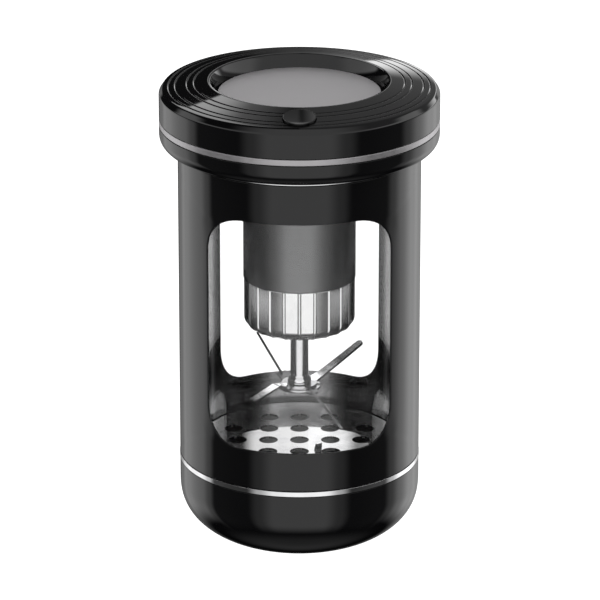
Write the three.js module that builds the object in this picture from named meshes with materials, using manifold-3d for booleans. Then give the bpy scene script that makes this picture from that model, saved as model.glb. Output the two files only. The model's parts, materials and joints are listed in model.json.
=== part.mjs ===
// Hand-held cordless grinder: a drum-shaped electric mill that stands on its rounded cup.
// Millimetres, +Z up, origin at the centre of the foot. The button side faces -Y.
// From the bottom up: cup, sieve, thin windowed sleeve over a thick clear tube, and a head that
// carries the cell, the motor, the fluted cover and the four-armed cutter.

import * as THREE from 'three';
import { mergeVertices } from 'three/addons/utils/BufferGeometryUtils.js';
import Module from 'manifold-3d';

const wasm = await Module();
wasm.setup();

// ---------------------------------------------------------------- driving dimensions
const BIG_SEGMENTS = 32;
const MID_SEGMENTS = 20;
const SLEEVE_SEGMENTS = 40;
const SMALL_SEGMENTS = 12;
const SCREW_SEGMENTS = 8;
const GAP = 0.15; // clearance between flat faces that touch
const FIT = 0.3; // radial clearance between nested round pieces

const BODY_R = 27.3; // outer radius of cup and sleeve
const BORE_R = 26.85; // inside of the thin sleeve
const HEAD_R = 31.4; // outer radius of the head

const FOOT_R = 12.5;
const CORNER_TOP = 14.8; // where the rounded base meets the straight cup wall
const CORNER_REACH = 24.5; // how far the rounded base runs in towards the axis
const CORNER_POWER = 2.4; // superellipse exponent of the rounded base
const CORNER_START = 1.5; // the curve starts here, above the flat foot
const CUP_TOP = 19.7;
const CUP_BORE_R = 24.4;
const CUP_FLOOR = 2.6;
const CUP_INNER_REACH = 22; // how far the bore's rounded bottom runs in towards the axis
const TUBE_INNER_R = 24.0;
const SPIGOT_R = TUBE_INNER_R - FIT; // the cup's neck, which enters the clear tube
const SPIGOT_TOP = 22.55;
const RECESS_R = 22.85; // recess in the neck's top face for the sieve's gasket
const SEAT_R = 21.6;
const SEAT_TOP = 22.0;
const NECK_BORE_BOTTOM = 18.0;
const FUNNEL_BOTTOM = 15.5; // the cup's bore narrows from here up to the neck
const RING_GROOVE_R = 22.9; // groove of the neck's O-ring
const RING_GROOVE_BOTTOM = 20.4;
const RING_GROOVE_TOP = 21.6;

const TRIM_HEIGHT = 1.1;
const SLEEVE_BOTTOM = CUP_TOP + TRIM_HEIGHT + 2 * GAP;
const SLEEVE_TOP = 93.1;
const WINDOW_HALF_ANGLE = 48.6 * Math.PI / 180;
const WINDOW_BOTTOM = 30.2;
const WINDOW_TOP = 84.1;
const WINDOW_CORNER = 8.5;
const UPPER_CORNER_RUN = 10.5; // the upper corners reach further along the top edge

const SIEVE_TOP = 23.2;
const SIEVE_THICK = 0.5;
const SIEVE_R = SPIGOT_R; // the sieve lies on top of the neck
const HOLE_R = 2.15;
const HOLE_PITCH = 7.1;
const TAB_HEIGHT = 1.5; // a tongue bent up out of the sieve
const TAB_X = 4.0;
const TAB_Y = -5.8;
const TAB_TURN = 35 * Math.PI / 180;
const HOLE_OUTER_X = 15.4; // the end holes of the second rows stand a little wider

const TUBE_OUTER_R = BORE_R - GAP;
const TUBE_BOTTOM = CUP_TOP + 2 * GAP;
const TUBE_TOP = 92.9;
const PLUG_R = TUBE_INNER_R - FIT; // the head's neck, which enters the tube
const PLUG_BOTTOM = 89.3;
const PLUG_BORE_R = 21.95;
const PLUG_GROOVE_R = 22.9; // groove of the head's O-ring
const PLUG_GROOVE_BOTTOM = 90.4;
const PLUG_GROOVE_TOP = 91.6;
const PLUG_LEDGE = 92.6; // the head's screws bear on the plug's floor above this

const SEAM_HEIGHT = 0.6;
const HEAD_BOTTOM = SLEEVE_TOP + SEAM_HEIGHT + 2 * GAP;
const UNDER_FILLET = 3.0;
const BAND_BOTTOM = 99.1;
const BAND_TOP = 100.5;
const SHOULDER = 106.2; // top of the head's straight wall
const CONE_R = 30.5;
const CONE_BOTTOM = 107.5;
const LIP_R = 20.4;
const HEAD_TOP = 109.1;
const CONE_TILT = Math.atan2(HEAD_TOP - CONE_BOTTOM, CONE_R - LIP_R);
const DISC_R = 18.2;
const DISC_TOP = 106.35;
const DISC_THICK = 0.6;
const HEAD_FLOOR = 1.2;
const HEAD_WALL_R = 29.9; // inside of the top shell's straight wall
const HEAD_WALL_TOP = 105.1;
const ROOF_OUTER = [29.2, 105.8]; // underside of the sloping roof, outer and inner end
const ROOF_INNER = [20.2, 107.2];
const DISC_SEAT = 105.6; // floor the disc is stuck to
const DISC_SEAT_UNDER = 104.4;
const DISC_SEAT_UNDER_R = 18.8;
const BOSS_R = 2.3; // screw bosses of the top shell
const BOSS_BOTTOM = 95.3;
const PILOT_R = 1.3;
const PILOT_TOP = 103.2;
const SCREW_HOLE_R = 1.35; // holes the head's screws pass through
const HOUSING_HOLE_R = 1.0;
const LOWER_WALL_R = 28.6; // inside of the base shell's wall
const LIP_JOINT_R = 29.7; // the base shell's rim stands inside the band and the top shell
const LIP_JOINT_TOP = 100.9;
const SHELL_BORE_R = 9; // opening in the base shell's floor over the motor
const PLUG_FLOOR_R = 17.5; // opening in the plug's floor for the housing's flange

const HOUSING_R = 12.7;
const HOUSING_WALL = 0.5;
const HOUSING_FLANGE_R = 16.5;
const HOUSING_FLANGE_BOTTOM = 92.4;
const COVER_R = 12.6;
const COVER_BOTTOM = 51.2;
const COVER_TOP = 63.2;
const COVER_FILLET = 3.0;
const COVER_WALL = 1.1;
const COVER_FLOOR = 1.4;
const COVER_MOUTH_R = 3.9;
const RIBS = 22;
const RIB_DEPTH = 0.25;

const MOTOR_R = 11.8;
const MOTOR_BOTTOM = 63.5;
const MOTOR_TOP = 88.8;
const CAN_WALL = 0.8;
const CAN_NOSE_R = 3.6; // short nose under the can that holds the front bushing
const CAN_NOSE_BORE_R = 2.7;
const CAN_NOSE_HEIGHT = 1.6;
const END_CAP_TOP = 91.0;
const END_CAP_BOTTOM = 87.6;
const END_CAP_BORE_R = 2.6;
const END_CAP_PLUG_R = 10.6;
const MAGNET_OUTER_R = 10.7;
const MAGNET_INNER_R = 9.4;
const ARMATURE_R = 9.0;
const ARMATURE_VALLEY_R = 4.6;
const SHAFT_R = 1.0;
const SHAFT_PLAY = 0.12;
const SPINDLE_R = 2.1;
const SPINDLE_BOTTOM = 37.6;
const SPINDLE_FOOT_R = 2.7;
const COUPLING_R = 4.0; // the spindle's upper end, a cup that grips the motor shaft
const COUPLING_BOTTOM = 55.6;
const COUPLING_TOP = 59.9;
const COUPLING_FLOOR = 55.9;
const SCREW_BORE_R = 1.35; // bore in the spindle's lower end for the hub screw
const SCREW_BORE_TOP = 43.8;

const BLADE_THICK = 0.5;
const UPPER_HUB_R = 4.0;
const LOWER_HUB_R = 4.8;
const BLADE_WIDTH = 2.4;
const LOWER_BLADE_Z = 36.6;
const UPPER_BLADE_Z = 37.2;

const BUTTON_R = 3.65;
const BUTTON_PCD_R = 25.9;
const BUTTON_PROUD = 0.55;
const BUTTON_FLANGE_R = 4.0;
const BUTTON_FLANGE_TOP = -2.25; // along the button's own axis, from the cone's surface
const BUTTON_FLANGE_BOTTOM = -2.95;
const SCREW_PCD_R = 19.8;
const SCREW_ANGLES = [60, 120, 240, 300];
const HOUSING_SCREW_PCD_R = 14.8;
const HOUSING_SCREW_ANGLES = [30, 150, 270];

const USB_WIDTH = 8.94;
const USB_HEIGHT = 3.2;
const USB_LENGTH = 7.6;
const USB_Z = 102.8;
const BOARD_TOP = 101.0;
const BOARD_THICK = 1.0;

// ---------------------------------------------------------------- finishes
const finishes = {
  black_gloss: [0x0b0b0c, 0.18, 0.0],
  chrome: [0xe8e8ea, 0.08, 1.0],
  satin_grey: [0x8f8f92, 0.4, 0.8],
  label: [0x8a8a8d, 0.45, 0.5],
  clear: [0xffffff, 0.02, 0.0],
  steel: [0xc4c6c8, 0.2, 1.0],
  rubber: [0x17171a, 0.8, 0.0],
  brass: [0xb08d4a, 0.35, 1.0],
  magnet: [0x3a3a3e, 0.7, 0.2],
  copper: [0xa8612f, 0.4, 1.0],
  board: [0x0f5a2c, 0.5, 0.0],
  cell: [0xc9ccd0, 0.35, 0.6],
  dark_plastic: [0x1c1c1f, 0.55, 0.0],
  red_wire: [0xb01818, 0.5, 0.0],
  black_wire: [0x141414, 0.5, 0.0],
};

function material(name) {
  const [color, roughness, metalness] = finishes[name];
  return new THREE.MeshStandardMaterial({ color, roughness, metalness });
}

// ---------------------------------------------------------------- solid helpers
function signedVolume(position, index) {
  const a = new THREE.Vector3();
  const b = new THREE.Vector3();
  const c = new THREE.Vector3();
  let total = 0;
  for (let i = 0; i < index.length; i += 3) {
    a.fromBufferAttribute(position, index[i]);
    b.fromBufferAttribute(position, index[i + 1]);
    c.fromBufferAttribute(position, index[i + 2]);
    total += a.dot(b.cross(c)) / 6;
  }
  return total;
}

// Merges shared vertices, drops collapsed triangles and turns all faces outward.
function closed(geometry) {
  const bare = geometry.clone();
  bare.deleteAttribute('normal');
  bare.deleteAttribute('uv');
  const merged = mergeVertices(bare, 1e-4);
  const source = merged.index.array;
  let index = [];
  for (let i = 0; i < source.length; i += 3) {
    const [a, b, c] = [source[i], source[i + 1], source[i + 2]];
    if (a !== b && b !== c && a !== c) index.push(a, b, c);
  }
  if (signedVolume(merged.attributes.position, index) < 0) index = index.reverse();
  merged.setIndex(index);
  return merged;
}

function solid(geometry) {
  const clean = closed(geometry);
  const vertProperties = new Float32Array(clean.attributes.position.array);
  const triVerts = new Uint32Array(clean.index.array);
  return new wasm.Manifold(new wasm.Mesh({ numProp: 3, vertProperties, triVerts }));
}

function shell(manifold) {
  const mesh = manifold.getMesh();
  const geometry = new THREE.BufferGeometry();
  geometry.setAttribute('position', new THREE.BufferAttribute(new Float32Array(mesh.vertProperties), 3));
  geometry.setIndex(Array.from(mesh.triVerts));
  return geometry;
}

function cut(base, ...tools) {
  return shell(tools.reduce((left, tool) => left.subtract(solid(tool)), solid(base)));
}

function join(base, ...others) {
  return shell(others.reduce((left, other) => left.add(solid(other)), solid(base)));
}

// A turned piece: points are [radius, height]; the outline starts and ends on the axis or closes.
function turned(points, segments = BIG_SEGMENTS) {
  const outline = points.map(([r, z]) => new THREE.Vector2(r, z));
  const onAxis = points[0][0] === 0 && points[points.length - 1][0] === 0;
  if (!onAxis) outline.push(outline[0].clone());
  const geometry = new THREE.LatheGeometry(outline, segments);
  geometry.rotateX(Math.PI / 2);
  return closed(geometry);
}

function ring(innerR, outerR, bottom, top, segments = BIG_SEGMENTS) {
  return turned([[innerR, bottom], [outerR, bottom], [outerR, top], [innerR, top]], segments);
}

function rod(radius, bottom, top, segments = SMALL_SEGMENTS) {
  return turned([[0, bottom], [radius, bottom], [radius, top], [0, top]], segments);
}

function block(width, depth, height, x = 0, y = 0, z = 0) {
  return new THREE.BoxGeometry(width, depth, height).translate(x, y, z);
}

// Points along a quarter turn in the outline plane.
function arc(centreR, centreZ, radius, fromDeg, toDeg, steps) {
  return Array.from({ length: steps + 1 }, (_, i) => {
    const angle = THREE.MathUtils.degToRad(fromDeg + (toDeg - fromDeg) * i / steps);
    return [centreR + radius * Math.cos(angle), centreZ + radius * Math.sin(angle)];
  });
}

function aroundAxis(radius, degrees) {
  const angle = THREE.MathUtils.degToRad(degrees);
  return [radius * Math.cos(angle), radius * Math.sin(angle)];
}

function roundedRectangle(width, height, corner) {
  const shape = new THREE.Shape();
  const x = width / 2;
  const y = height / 2;
  shape.moveTo(-x + corner, -y);
  shape.lineTo(x - corner, -y);
  shape.absarc(x - corner, -y + corner, corner, -Math.PI / 2, 0, false);
  shape.lineTo(x, y - corner);
  shape.absarc(x - corner, y - corner, corner, 0, Math.PI / 2, false);
  shape.lineTo(-x + corner, y);
  shape.absarc(-x + corner, y - corner, corner, Math.PI / 2, Math.PI, false);
  shape.lineTo(-x, -y + corner);
  shape.absarc(-x + corner, -y + corner, corner, Math.PI, 1.5 * Math.PI, false);
  return shape;
}

function plate(shape, thickness, curveSegments = 4) {
  return new THREE.ExtrudeGeometry(shape, { depth: thickness, bevelEnabled: false, curveSegments });
}

// ---------------------------------------------------------------- scene graph helpers
const grinder = new THREE.Group();

function add(name, finish, geometry, parent = grinder) {
  const mesh = new THREE.Mesh(geometry, material(finish));
  mesh.name = name;
  parent.add(mesh);
  return mesh;
}

// ---------------------------------------------------------------- cup and sieve
function baseCurve(bottom, top, reach, outerR, start, steps) {
  const height = top - bottom;
  return Array.from({ length: steps + 1 }, (_, i) => {
    const z = start + (top - start) * (1 - Math.cos(0.5 * Math.PI * i / steps));
    const drop = Math.pow((top - z) / height, CORNER_POWER);
    return [outerR - reach + reach * Math.pow(Math.max(0, 1 - drop), 1 / CORNER_POWER), z];
  });
}

function cupGeometry() {
  const outside = baseCurve(0, CORNER_TOP, CORNER_REACH, BODY_R, CORNER_START, 5);
  const inside = baseCurve(
    CUP_FLOOR, CORNER_TOP, CUP_INNER_REACH, CUP_BORE_R, CUP_FLOOR + 0.3, 3).reverse();
  return turned([
    [0, 0], [FOOT_R, 0], ...outside, [BODY_R, CUP_TOP], [SPIGOT_R, CUP_TOP],
    [SPIGOT_R, RING_GROOVE_BOTTOM], [RING_GROOVE_R, RING_GROOVE_BOTTOM], [RING_GROOVE_R, RING_GROOVE_TOP],
    [SPIGOT_R, RING_GROOVE_TOP], [SPIGOT_R, SPIGOT_TOP],
    [RECESS_R, SPIGOT_TOP], [RECESS_R, SEAT_TOP], [SEAT_R, SEAT_TOP], [SEAT_R, NECK_BORE_BOTTOM],
    [CUP_BORE_R, FUNNEL_BOTTOM], ...inside, [0, CUP_FLOOR],
  ]);
}

function sieveHoles() {
  const rows = [
    [0, [0, HOLE_PITCH, 2 * HOLE_PITCH]],
    [HOLE_PITCH, [0, HOLE_PITCH, HOLE_OUTER_X]],
    [2 * HOLE_PITCH, [0, HOLE_PITCH]],
  ];
  const seen = new Set();
  const holes = [];
  for (const [rowY, rowX] of rows) {
    for (const x of rowX) {
      for (const [px, py] of [[x, rowY], [-x, rowY], [x, -rowY], [-x, -rowY]]) {
        const key = `${px + 0},${py + 0}`;
        if (!seen.has(key)) holes.push([px, py]);
        seen.add(key);
      }
    }
  }
  return holes;
}

function sieveGeometry() {
  const disc = turned([
    [0, SIEVE_TOP - SIEVE_THICK], [SIEVE_R, SIEVE_TOP - SIEVE_THICK], [SIEVE_R, SIEVE_TOP],
    [0, SIEVE_TOP],
  ]);
  const holes = sieveHoles().map(([x, y]) => (
    rod(HOLE_R, SIEVE_TOP - 1, SIEVE_TOP + 1, 10).translate(x, y, 0)));
  const outline = new THREE.Shape();
  outline.moveTo(-0.95, -0.3);
  outline.lineTo(0.9, -0.3);
  outline.lineTo(1.0, TAB_HEIGHT);
  outline.lineTo(-0.4, TAB_HEIGHT);
  const tab = plate(outline, SIEVE_THICK)
    .rotateX(Math.PI / 2).rotateZ(TAB_TURN).translate(TAB_X, TAB_Y, SIEVE_TOP);
  return shell(solid(cut(disc, ...holes)).add(solid(tab)));
}

add('bottom_cup', 'black_gloss', cupGeometry());
add('cup_o_ring', 'rubber', ring(
  RING_GROOVE_R + 0.1, SPIGOT_R + 0.15, RING_GROOVE_BOTTOM + 0.15, RING_GROOVE_TOP - 0.15));
add('sieve_seal', 'rubber', ring(
  SEAT_R + 0.1, RECESS_R - 0.1, SEAT_TOP + 0.1, SIEVE_TOP - SIEVE_THICK - 0.1));
add('sieve_plate', 'steel', sieveGeometry());
add('base_trim_ring', 'chrome', ring(BORE_R, BODY_R + 0.06, CUP_TOP + GAP, SLEEVE_BOTTOM - GAP));

// ---------------------------------------------------------------- sleeve and clear tube
// One window cutter: a block of the window's height whose sides run through the axis and whose
// corners are rounded on the developed outside of the sleeve.
function windowCutter(facing) {
  const half = WINDOW_HALF_ANGLE;
  const steps = 6;
  const lower = [];
  const upper = [];
  for (let k = 0; k <= steps; k += 1) {
    const t = 0.5 * Math.PI * k / steps;
    const rise = WINDOW_CORNER * (1 - Math.cos(t));
    lower.push([half - WINDOW_CORNER * (1 - Math.sin(t)) / BODY_R, WINDOW_BOTTOM + rise]);
    upper.unshift([half - UPPER_CORNER_RUN * (1 - Math.sin(t)) / BODY_R, WINDOW_TOP - rise]);
  }
  const right = [...lower, ...upper];
  const middle = [-0.25, 0, 0.25];
  const bottomEdge = middle.map((angle) => [angle, WINDOW_BOTTOM]);
  const topEdge = middle.map((angle) => [-angle, WINDOW_TOP]);
  const left = right.map(([angle, z]) => [-angle, z]).reverse();
  const loop = [...bottomEdge, ...right, ...topEdge, ...left];
  const inner = 20; // the chord across the outer face stays outside the sleeve
  const outer = 48;
  const vertices = [];
  for (const radius of [inner, outer]) {
    for (const [angle, z] of loop) {
      vertices.push(radius * Math.sin(angle), -facing * radius * Math.cos(angle), z);
    }
  }
  const count = loop.length;
  const faces = THREE.ShapeUtils.triangulateShape(
    loop.map(([angle, z]) => new THREE.Vector2(angle * BODY_R, z)), []);
  const index = [];
  for (const [a, b, c] of faces) {
    index.push(a, b, c, count + c, count + b, count + a);
  }
  for (let i = 0; i < count; i += 1) {
    const j = (i + 1) % count;
    index.push(j, i, count + i, j, count + i, count + j);
  }
  const geometry = new THREE.BufferGeometry();
  geometry.setAttribute('position', new THREE.Float32BufferAttribute(vertices, 3));
  geometry.setIndex(index);
  return geometry;
}

function sleeveGeometry() {
  const tube = ring(BORE_R, BODY_R, SLEEVE_BOTTOM, SLEEVE_TOP, SLEEVE_SEGMENTS);
  return cut(tube, windowCutter(1), windowCutter(-1));
}

add('body_sleeve', 'black_gloss', sleeveGeometry());
add('window_tube', 'clear', ring(TUBE_INNER_R, TUBE_OUTER_R, TUBE_BOTTOM, TUBE_TOP, SLEEVE_SEGMENTS));
add('seam_ring', 'chrome', ring(PLUG_R + FIT, BODY_R, SLEEVE_TOP + GAP, HEAD_BOTTOM - GAP));

// ---------------------------------------------------------------- head shells
const buttonFrame = new THREE.Group();
buttonFrame.position.set(0, -BUTTON_PCD_R, CONE_BOTTOM + (CONE_R - BUTTON_PCD_R) * Math.tan(CONE_TILT));
buttonFrame.rotation.x = CONE_TILT;
buttonFrame.updateMatrix();
grinder.add(buttonFrame);

const BOARD_SEAT = -8.6; // button board top, below the cone along the button's own axis
const POST_X = 6.0;

function inButtonFrame(geometry) {
  return geometry.applyMatrix4(buttonFrame.matrix);
}

function topShellGeometry() {
  const skin = turned([
    [0, DISC_SEAT_UNDER], [DISC_SEAT_UNDER_R, DISC_SEAT_UNDER], ROOF_INNER, ROOF_OUTER,
    [HEAD_WALL_R, HEAD_WALL_TOP], [HEAD_WALL_R, BAND_TOP + 0.1], [HEAD_R, BAND_TOP + 0.1],
    [HEAD_R, SHOULDER], [CONE_R, CONE_BOTTOM], [LIP_R, HEAD_TOP], [LIP_R - 0.4, HEAD_TOP - 0.1],
    [DISC_R + 0.4, DISC_SEAT + 0.7], [DISC_R + FIT, DISC_SEAT], [0, DISC_SEAT],
  ]);
  const bosses = SCREW_ANGLES.map((degrees) => {
    const [x, y] = aroundAxis(SCREW_PCD_R, degrees);
    return rod(BOSS_R, BOSS_BOTTOM, HEAD_WALL_TOP - 0.1).translate(x, y, 0);
  });
  const posts = [-POST_X, POST_X].map((x) => (
    inButtonFrame(rod(0.9, BOARD_SEAT + GAP, -1.0, SCREW_SEGMENTS).translate(x, 0, 0))));
  const body = join(skin, ...bosses, ...posts);
  const pilots = SCREW_ANGLES.map((degrees) => {
    const [x, y] = aroundAxis(SCREW_PCD_R, degrees);
    return rod(PILOT_R, BOSS_BOTTOM - 1, PILOT_TOP, SCREW_SEGMENTS).translate(x, y, 0);
  });
  const buttonHole = inButtonFrame(rod(BUTTON_R + GAP, -4, 4, 24));
  const portHole = plate(roundedRectangle(USB_WIDTH + 0.7, USB_HEIGHT + 0.7, 1.9), 6)
    .rotateX(Math.PI / 2).translate(0, 34, USB_Z);
  return cut(body, ...pilots, buttonHole, portHole);
}

function baseShellGeometry() {
  const skin = turned([
    [SHELL_BORE_R, HEAD_BOTTOM],
    ...arc(HEAD_R - UNDER_FILLET, HEAD_BOTTOM + UNDER_FILLET, UNDER_FILLET, -90, 0, 3),
    [HEAD_R, BAND_BOTTOM - 0.1], [LIP_JOINT_R, BAND_BOTTOM - 0.1], [LIP_JOINT_R, LIP_JOINT_TOP],
    [LOWER_WALL_R, LIP_JOINT_TOP], [LOWER_WALL_R, HEAD_BOTTOM + 2 * HEAD_FLOOR],
    [LOWER_WALL_R - HEAD_FLOOR, HEAD_BOTTOM + HEAD_FLOOR], [SHELL_BORE_R, HEAD_BOTTOM + HEAD_FLOOR],
  ]);
  const posts = [-17, 17].map((x) => rod(1.3, 94.5, BOARD_TOP - BOARD_THICK - GAP, 8).translate(x, 18, 0));
  const body = join(skin, ...posts);
  const headHoles = SCREW_ANGLES.map((degrees) => {
    const [x, y] = aroundAxis(SCREW_PCD_R, degrees);
    return rod(SCREW_HOLE_R, HEAD_BOTTOM - 1, HEAD_BOTTOM + 3, SCREW_SEGMENTS).translate(x, y, 0);
  });
  const housingHoles = HOUSING_SCREW_ANGLES.map((degrees) => {
    const [x, y] = aroundAxis(HOUSING_SCREW_PCD_R, degrees);
    return rod(HOUSING_HOLE_R, HEAD_BOTTOM - 1, HEAD_BOTTOM + 3, SCREW_SEGMENTS).translate(x, y, 0);
  });
  return cut(body, ...headHoles, ...housingHoles);
}

function plugGeometry() {
  const plug = turned([
    [PLUG_FLOOR_R, PLUG_LEDGE], [PLUG_BORE_R, PLUG_LEDGE], [PLUG_BORE_R, PLUG_BOTTOM], [PLUG_R, PLUG_BOTTOM],
    [PLUG_R, PLUG_GROOVE_BOTTOM], [PLUG_GROOVE_R, PLUG_GROOVE_BOTTOM],
    [PLUG_GROOVE_R, PLUG_GROOVE_TOP], [PLUG_R, PLUG_GROOVE_TOP], [PLUG_R, HEAD_BOTTOM - GAP],
    [PLUG_FLOOR_R, HEAD_BOTTOM - GAP],
  ]);
  const holes = SCREW_ANGLES.map((degrees) => {
    const [x, y] = aroundAxis(SCREW_PCD_R, degrees);
    return rod(SCREW_HOLE_R, PLUG_LEDGE - 1, HEAD_BOTTOM + 1, SCREW_SEGMENTS).translate(x, y, 0);
  });
  return cut(plug, ...holes);
}

function screwGeometry(headR, headBottom, headTop, shankR, tip) {
  return turned([
    [0, headBottom], [headR, headBottom], [headR, headTop], [shankR, headTop], [shankR, tip], [0, tip],
  ], SCREW_SEGMENTS);
}

add('head_top_shell', 'black_gloss', topShellGeometry());
add('head_base_shell', 'black_gloss', baseShellGeometry());
add('head_trim_band', 'satin_grey', ring(30.2, HEAD_R, BAND_BOTTOM, BAND_TOP));
add('label_disc', 'label', rod(DISC_R, DISC_TOP - DISC_THICK, DISC_TOP, BIG_SEGMENTS));
add('head_plug', 'dark_plastic', plugGeometry());
add('head_o_ring', 'rubber', ring(
  PLUG_GROOVE_R + 0.1, PLUG_R + 0.15, PLUG_GROOVE_BOTTOM + 0.15, PLUG_GROOVE_TOP - 0.15));
SCREW_ANGLES.forEach((degrees, i) => {
  const [x, y] = aroundAxis(SCREW_PCD_R, degrees);
  add(`head_screw_${i + 1}`, 'steel', screwGeometry(1.9, 91.2, 92.45, 1.05, 102.4).translate(x, y, 0));
});

// ---------------------------------------------------------------- motor housing and fluted cover
function housingGeometry() {
  const inner = HOUSING_R - HOUSING_WALL;
  const top = HEAD_BOTTOM - GAP;
  const tube = turned([
    [inner, COVER_TOP + GAP], [HOUSING_R, COVER_TOP + GAP], [HOUSING_R, HOUSING_FLANGE_BOTTOM],
    [HOUSING_FLANGE_R, HOUSING_FLANGE_BOTTOM], [HOUSING_FLANGE_R, top], [inner, top],
  ], MID_SEGMENTS);
  const holes = HOUSING_SCREW_ANGLES.map((degrees) => {
    const [x, y] = aroundAxis(HOUSING_SCREW_PCD_R, degrees);
    return rod(HOUSING_HOLE_R, HOUSING_FLANGE_BOTTOM - 1, top + 1, SCREW_SEGMENTS).translate(x, y, 0);
  });
  return cut(tube, ...holes);
}

// A turned cup whose outside carries narrow upright ribs.
function coverGeometry() {
  const rootR = COVER_R - RIB_DEPTH;
  const inner = rootR - COVER_WALL;
  const floorTop = COVER_BOTTOM + COVER_FLOOR;
  const body = turned([
    [COVER_MOUTH_R, COVER_BOTTOM],
    ...arc(rootR - COVER_FILLET, COVER_BOTTOM + COVER_FILLET, COVER_FILLET, -90, 0, 3),
    [rootR, COVER_TOP], [inner, COVER_TOP], [inner, COVER_BOTTOM + COVER_FILLET],
    [inner - 1.6, floorTop], [COVER_MOUTH_R, floorTop],
  ], 4 * RIBS);
  const position = body.attributes.position;
  for (let i = 0; i < position.count; i += 1) {
    const radius = Math.hypot(position.getX(i), position.getY(i));
    const step = Math.round(Math.atan2(position.getY(i), position.getX(i)) / (2 * Math.PI) * 4 * RIBS);
    const onRib = ((step % 4) + 4) % 4 < 2;
    if (onRib && radius > inner + 0.2) {
      const scale = (radius + RIB_DEPTH) / radius;
      position.setXY(i, position.getX(i) * scale, position.getY(i) * scale);
    }
  }
  return body;
}

add('motor_housing', 'black_gloss', housingGeometry());
add('fluted_cover', 'chrome', coverGeometry());
HOUSING_SCREW_ANGLES.forEach((degrees, i) => {
  const [x, y] = aroundAxis(HOUSING_SCREW_PCD_R, degrees);
  add(`housing_screw_${i + 1}`, 'steel', screwGeometry(1.4, 91.0, 92.25, 0.75, 95.6).translate(x, y, 0));
});
add('shaft_seal', 'rubber', ring(SPINDLE_R + 0.15, 3.7, COVER_BOTTOM + 0.1, COVER_BOTTOM + 1.4, 24));
add('spindle_bearing', 'brass', ring(SPINDLE_R + 0.15, 5.6, COVER_BOTTOM + 1.6, COVER_BOTTOM + 4.2, 24));

// ---------------------------------------------------------------- motor
function canGeometry() {
  const noseBottom = MOTOR_BOTTOM - CAN_NOSE_HEIGHT;
  return turned([
    [CAN_NOSE_BORE_R, noseBottom], [CAN_NOSE_R, noseBottom], [CAN_NOSE_R, MOTOR_BOTTOM],
    [MOTOR_R, MOTOR_BOTTOM], [MOTOR_R, MOTOR_TOP], [MOTOR_R - CAN_WALL, MOTOR_TOP],
    [MOTOR_R - CAN_WALL, MOTOR_BOTTOM + CAN_WALL], [CAN_NOSE_BORE_R, MOTOR_BOTTOM + CAN_WALL],
  ], MID_SEGMENTS);
}

function endCapGeometry() {
  const plug = turned([
    [END_CAP_BORE_R, END_CAP_BOTTOM], [END_CAP_PLUG_R, END_CAP_BOTTOM],
    [END_CAP_PLUG_R, MOTOR_TOP + GAP], [MOTOR_R, MOTOR_TOP + GAP], [MOTOR_R, END_CAP_TOP],
    [END_CAP_BORE_R + 0.8, END_CAP_TOP], [END_CAP_BORE_R + 0.8, END_CAP_TOP + 0.8],
    [END_CAP_BORE_R, END_CAP_TOP + 0.8],
  ], MID_SEGMENTS);
  const slots = [-6, 6].map((x) => block(2.4, 0.9, 8, x, 0, 90));
  return cut(plug, ...slots);
}

function magnetGeometry(facing) {
  const shape = new THREE.Shape();
  const half = THREE.MathUtils.degToRad(62);
  shape.absarc(0, 0, MAGNET_OUTER_R, -half, half, false);
  shape.absarc(0, 0, MAGNET_INNER_R, half, -half, true);
  return plate(shape, 18, 10).rotateZ(facing > 0 ? 0 : Math.PI).translate(0, 0, 66);
}

function armatureGeometry() {
  const shape = new THREE.Shape();
  const tooth = THREE.MathUtils.degToRad(48);
  for (let i = 0; i < 3; i += 1) {
    const middle = 2 * Math.PI * i / 3;
    shape.absarc(0, 0, ARMATURE_R, middle - tooth, middle + tooth, false);
    const valley = middle + Math.PI / 3;
    shape.lineTo(ARMATURE_VALLEY_R * Math.cos(valley), ARMATURE_VALLEY_R * Math.sin(valley));
  }
  shape.closePath();
  const bore = new THREE.Path();
  bore.absarc(0, 0, SHAFT_R + SHAFT_PLAY, 0, 2 * Math.PI, true);
  shape.holes.push(bore);
  return plate(shape, 16, 6).translate(0, 0, 67);
}

add('motor_can', 'steel', canGeometry());
add('motor_end_cap', 'dark_plastic', endCapGeometry());
add('magnet_right', 'magnet', magnetGeometry(1));
add('magnet_left', 'magnet', magnetGeometry(-1));
add('front_bushing', 'brass', ring(
  SHAFT_R + SHAFT_PLAY, 2.55, MOTOR_BOTTOM - 1.4, MOTOR_BOTTOM + 0.7, SMALL_SEGMENTS));
add('rear_bushing', 'brass', ring(SHAFT_R + SHAFT_PLAY, 2.45, 89.2, 91.5, SMALL_SEGMENTS));
add('motor_terminal_1', 'brass', block(2.0, 0.5, 4.4, 6, 0, 91.6));
add('motor_terminal_2', 'brass', block(2.0, 0.5, 4.4, -6, 0, 91.6));

// ---------------------------------------------------------------- everything that spins
function spindleGeometry() {
  return turned([
    [SCREW_BORE_R, SPINDLE_BOTTOM], [SPINDLE_FOOT_R, SPINDLE_BOTTOM],
    [SPINDLE_FOOT_R, SPINDLE_BOTTOM + 0.9], [SPINDLE_R, SPINDLE_BOTTOM + 1.7],
    [SPINDLE_R, COUPLING_BOTTOM], [COUPLING_R, COUPLING_BOTTOM], [COUPLING_R, COUPLING_TOP],
    [SHAFT_R + SHAFT_PLAY, COUPLING_TOP], [SHAFT_R + SHAFT_PLAY, COUPLING_FLOOR],
    [0, COUPLING_FLOOR], [0, SCREW_BORE_TOP], [SCREW_BORE_R, SCREW_BORE_TOP],
  ], 20);
}

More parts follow.
